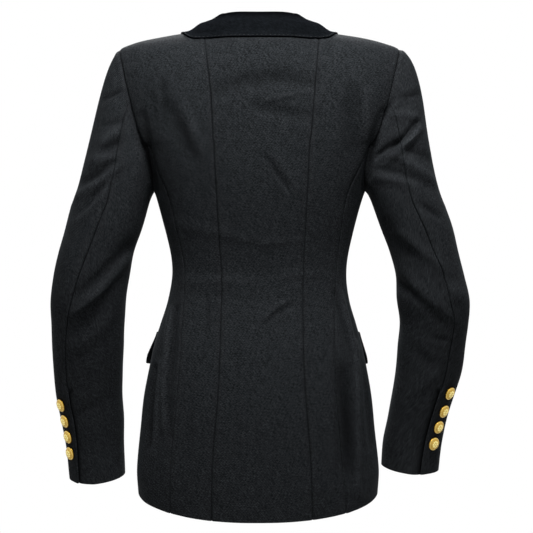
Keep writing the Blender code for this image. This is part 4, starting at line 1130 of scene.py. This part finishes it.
def sewButton(name, node, radius, sheet, pointAt, across, z, step, outward):
    # pointAt gives the sheet's point at a place across it and a height; step is a little way across
    near = [pointAt(across + aside, z + rise) for aside, rise in
            ((0, 0), (step, 0), (-step, 0), (0, 0.004), (0, -0.004))]
    place = Vector(near[0])
    direction = Vector(near[1] - near[2]).cross(Vector(near[3] - near[4])).normalized()
    if direction.dot(Vector(outward)) < 0:
        direction.negate()
    vertices, faces, tone = buttonMesh(radius)
    reach = 0.02
    foot, _, _, _ = surfaces[sheet].ray_cast(place + direction * reach, -direction, 2 * reach)
    turn = direction.to_track_quat("Z", "Y").to_matrix()
    placed = vertices @ np.array(turn).T + np.array(foot + direction * buttons["gap"])
    mesh = ownMesh(name, placed.tolist(), faces, buttonMetal)
    giveValues(mesh, "raised", "FLOAT", tone)
    piece = linkPiece(name, mesh)
    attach(piece, "root")
    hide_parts(node)


for label, places in buttons["cuffs"].items():
    sleeve = sleeves[label]
    for number, (z, degrees) in enumerate(places, 1):
        sewButton("cuffButton%s%d" % (label, number), "cuff_button_%s%d" % (label, number),
                  buttons["cuffRadius"], "sleeveUpper" + label,
                  lambda angle, z: sleeveRing(sleeve, angle, z), radians(degrees), z, 0.07,
                  (sleeve["side"], 0, 0))

frontPlaces = [(x, z) for z in buttons["frontHeights"] for x in (buttons["frontX"], -buttons["frontX"])]
for number, (x, z) in enumerate(frontPlaces, 1):
    sewButton("frontButton%d" % number, "front_button_%d" % number, buttons["frontRadius"], "frontR",
              lambda x, z: onFront(x, z, -1)[0], x, z, 0.004, (0, -1, 0))
print("buttons sewn on")


# Stitches: pick stitches 2 mm in from the edges, and worked buttonholes on the right front

stitching = dict(pick=dict(Spacing=0.0060, Length=0.0026, Radius=0.00030),
                 hole=dict(Spacing=0.00075, Length=0.0022, Radius=0.00036),
                 holeLength=0.023, holeStart=0.0035, holePoints=24, slit=0.0009,
                 tackHeight=0.0019, tackBack=0.0006, tackPoints=6)


def makeStitchTree():
    # stitches along a path: each is a small rounded bar that points along the path's direction
    tree = bpy.data.node_groups.new("stitches", "GeometryNodeTree")
    tree.is_modifier = True
    for name, way, kind in (("Path", "INPUT", "Geometry"), ("Spacing", "INPUT", "Float"),
                            ("Length", "INPUT", "Float"), ("Radius", "INPUT", "Float"),
                            ("Thread", "INPUT", "Material"), ("Stitches", "OUTPUT", "Geometry")):
        tree.interface.new_socket(name, in_out=way, socket_type="NodeSocket" + kind)
    given = addNode(tree, "NodeGroupInput")
    curve = addNode(tree, "GeometryNodeMeshToCurve", [("Mesh", given, "Path")])
    spaced = addNode(tree, "GeometryNodeResampleCurve", [("Curve", curve, "Curve"),
                                                         ("Length", given, "Spacing")], mode="LENGTH")
    pointing = addNode(tree, "GeometryNodeInputNamedAttribute", data_type="FLOAT_VECTOR",
                       in_Name="direction")
    turn = addNode(tree, "FunctionNodeAlignRotationToVector",
                   [("Vector", pointing, "Attribute")], axis="Z")
    half = addNode(tree, "ShaderNodeMath", [(0, given, "Length")], operation="MULTIPLY", in_1=0.5)
    size = addNode(tree, "ShaderNodeCombineXYZ", [("X", given, "Radius"), ("Y", given, "Radius"),
                                                  ("Z", half, "Value")])
    bar = addNode(tree, "GeometryNodeMeshUVSphere", in_Segments=6, in_Rings=4, in_Radius=1.0)
    placed = addNode(tree, "GeometryNodeInstanceOnPoints",
                     [("Points", spaced, "Curve"), ("Instance", bar, "Mesh"),
                      ("Rotation", turn, "Rotation"), ("Scale", size, "Vector")])
    real = addNode(tree, "GeometryNodeRealizeInstances", [("Geometry", placed, "Instances")])
    smooth = addNode(tree, "GeometryNodeSetShadeSmooth", [("Geometry", real, "Geometry")])
    dyed = addNode(tree, "GeometryNodeSetMaterial", [("Geometry", smooth, "Geometry"),
                                                     ("Material", given, "Thread")])
    addNode(tree, "NodeGroupOutput", [("Stitches", dyed, "Geometry")])
    return tree


stitchTree = makeStitchTree()


def sewLines(name, lines, sizes):
    # lines are (points, direction), where None is for stitches that follow the line
    vertices, edges, directions = [], [], []
    for points, direction in lines:
        start = len(vertices)
        edges += [(start + i, start + i + 1) for i in range(len(points) - 1)]
        vertices += points.tolist()
        if direction is None:
            directions.append(unit(np.gradient(points, axis=0)))
        else:
            directions.append(direction + 0 * points)
    mesh = bpy.data.meshes.new(name)
    mesh.from_pydata(vertices, edges, [])
    giveValues(mesh, "direction", "FLOAT_VECTOR", np.concatenate(directions))
    path = linkPiece(name + "Path", mesh)
    sewn = path.modifiers.new("stitches", "NODES")
    sewn.node_group = stitchTree
    sockets = {item.name: item.identifier for item in stitchTree.interface.items_tree}
    for key, value in dict(sizes, Thread=seamThread).items():
        sewn[sockets[key]] = value
    plain = bpy.data.meshes.new_from_object(path.evaluated_get(bpy.context.evaluated_depsgraph_get()))
    bpy.data.objects.remove(path)
    plain.name = name
    piece = linkPiece(name, plain)
    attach(piece, "root")


# pick lines run along rows or columns beside an edge, and stop short of the corners
pickLines = [collarGrid[3:-3, -2]]
for label in bothSides:
    lapelGrid, flapGrid, frontPanel = lapelGrids[label], flapGrids[label], armholes[label][1]
    straight = frontPanel[2:int(np.searchsorted(frontPanel[:, 0, 2], body["lapelBreak"])) - 2]
    pickLines += [lapelGrid[4:-2, -5], lapelGrid[-2, 6:-6], blend(straight[:, 0], straight[:, 1], 0.5),
                  flapGrid[-2, 7:-7], flapGrid[3:-7, 1], flapGrid[3:-7, -2]]
sewLines("pickStitches", [(line, None) for line in pickLines], stitching["pick"])

holeLines = []
for z in buttons["frontHeights"]:
    outer = buttons["frontX"] + stitching["holeStart"]
    hits = [surfaces["frontR"].ray_cast(Vector((x, -0.2, z)), Vector((0, 1, 0)), 0.2)
            for x in np.linspace(outer, outer - stitching["holeLength"], stitching["holePoints"])]
    slit = np.array([hit[0] for hit in hits])
    for way in (1, -1):
        aside = way * (stitching["slit"] + stitching["hole"]["Length"] / 2)
        holeLines.append((slit + np.array([0, 0, aside]), np.array([0, 0, 1.0])))
    # a bar tack closes the slit's inner end
    spread = np.linspace(-1, 1, stitching["tackPoints"])[:, None] * [0, 0, stitching["tackHeight"]]
    holeLines.append((slit[-1] + spread - [stitching["tackBack"], 0, 0], np.array([1.0, 0, 0])))
sewLines("buttonholeStitches", holeLines, stitching["hole"])
print("stitches sewn")


# Stage, light and camera

# The floor is where the wearer's feet would stand, and fades out far from the jacket. The camera sees
# plain white all round, as in a cut-out studio picture; the cloth is lit by less.
stage = dict(floorZ=-1.40, floorRadius=7.0, floorSides=64, fadeFrom=0.7, fadeTo=2.6,
             floorColor="#F4F4F4", floorRoughness=0.9, white=1.0, around=0.062)

# Each lamp is a disk that points at the upper body.
lampTarget = (0, 0, -0.12)
lamps = {
    "backKey": dict(place=(-0.06, 0.78, 0.88), size=0.6, power=29),
    "frontKey": dict(place=(0.06, -0.78, 0.88), size=0.6, power=29),
    "leftFill": dict(place=(1.9, 0.7, 0.5), size=1.2, power=1.2),
    "rightFill": dict(place=(-1.9, 0.7, 0.5), size=1.2, power=1.2),
}

# The photo's view: 1.42 mm a pixel at the body's middle
view = dict(place=(-0.010, 2.0, -0.3316), sensor=36, pixels=533, pixelSize=0.00142)


def layFloor():
    made, tree, shader = newMaterial("paleFloor")
    place = addNode(tree, "ShaderNodeTexCoord")
    fromMiddle = addNode(tree, "ShaderNodeVectorMath", [(0, place, "Object")], operation="MULTIPLY",
                         in_1=(1, 1, 0))
    distance = addNode(tree, "ShaderNodeVectorMath", [(0, fromMiddle, "Vector")], operation="LENGTH")
    fade = addNode(tree, "ShaderNodeMapRange", [("Value", distance, "Value")],
                   in_From_Min=stage["fadeFrom"], in_From_Max=stage["fadeTo"], in_To_Min=1, in_To_Max=0)
    setInputs(shader, [("Alpha", fade, "Result")], in_Base_Color=hexColor(stage["floorColor"]),
              in_Roughness=stage["floorRoughness"])
    count, radius = stage["floorSides"], stage["floorRadius"]
    corners = [(radius * cos(i * tau / count), radius * sin(i * tau / count), stage["floorZ"])
               for i in range(count)]
    linkPiece("floor", ownMesh("floor", corners, [list(range(count))], made))


def whiteAround():
    world = bpy.data.worlds.new("studio")
    bpy.context.scene.world = world
    world.use_nodes = True
    tree = world.node_tree
    seen = addNode(tree, "ShaderNodeLightPath")
    strength = addNode(tree, "ShaderNodeMapRange", [("Value", seen, "Is Diffuse Ray")],
                       in_To_Min=stage["white"], in_To_Max=stage["around"])
    setInputs(tree.nodes["Background"], [("Strength", strength, "Result")], in_Color=(1, 1, 1, 1))


def hangLamp(name, place, size, power):
    data = bpy.data.lights.new(name, "AREA")
    data.shape, data.size, data.energy = "DISK", size, power
    lamp = linkPiece(name, data)
    lamp.location = place
    lamp.rotation_euler = (Vector(lampTarget) - Vector(place)).to_track_quat("-Z", "Y").to_euler()


def placeCamera():
    data = bpy.data.cameras.new("camera")
    data.sensor_width = view["sensor"]
    data.lens = view["sensor"] * view["place"][1] / (view["pixels"] * view["pixelSize"])
    camera = linkPiece("camera", data)
    camera.location = view["place"]
    camera.rotation_euler = (pi / 2, 0, pi)    # level, towards -Y
    bpy.context.scene.camera = camera


layFloor()
whiteAround()
for name, lamp in lamps.items():
    hangLamp(name, **lamp)
placeCamera()
bpy.context.scene.view_settings.view_transform = "Standard"    # colours as they are, as in a catalogue

print("scene ready")
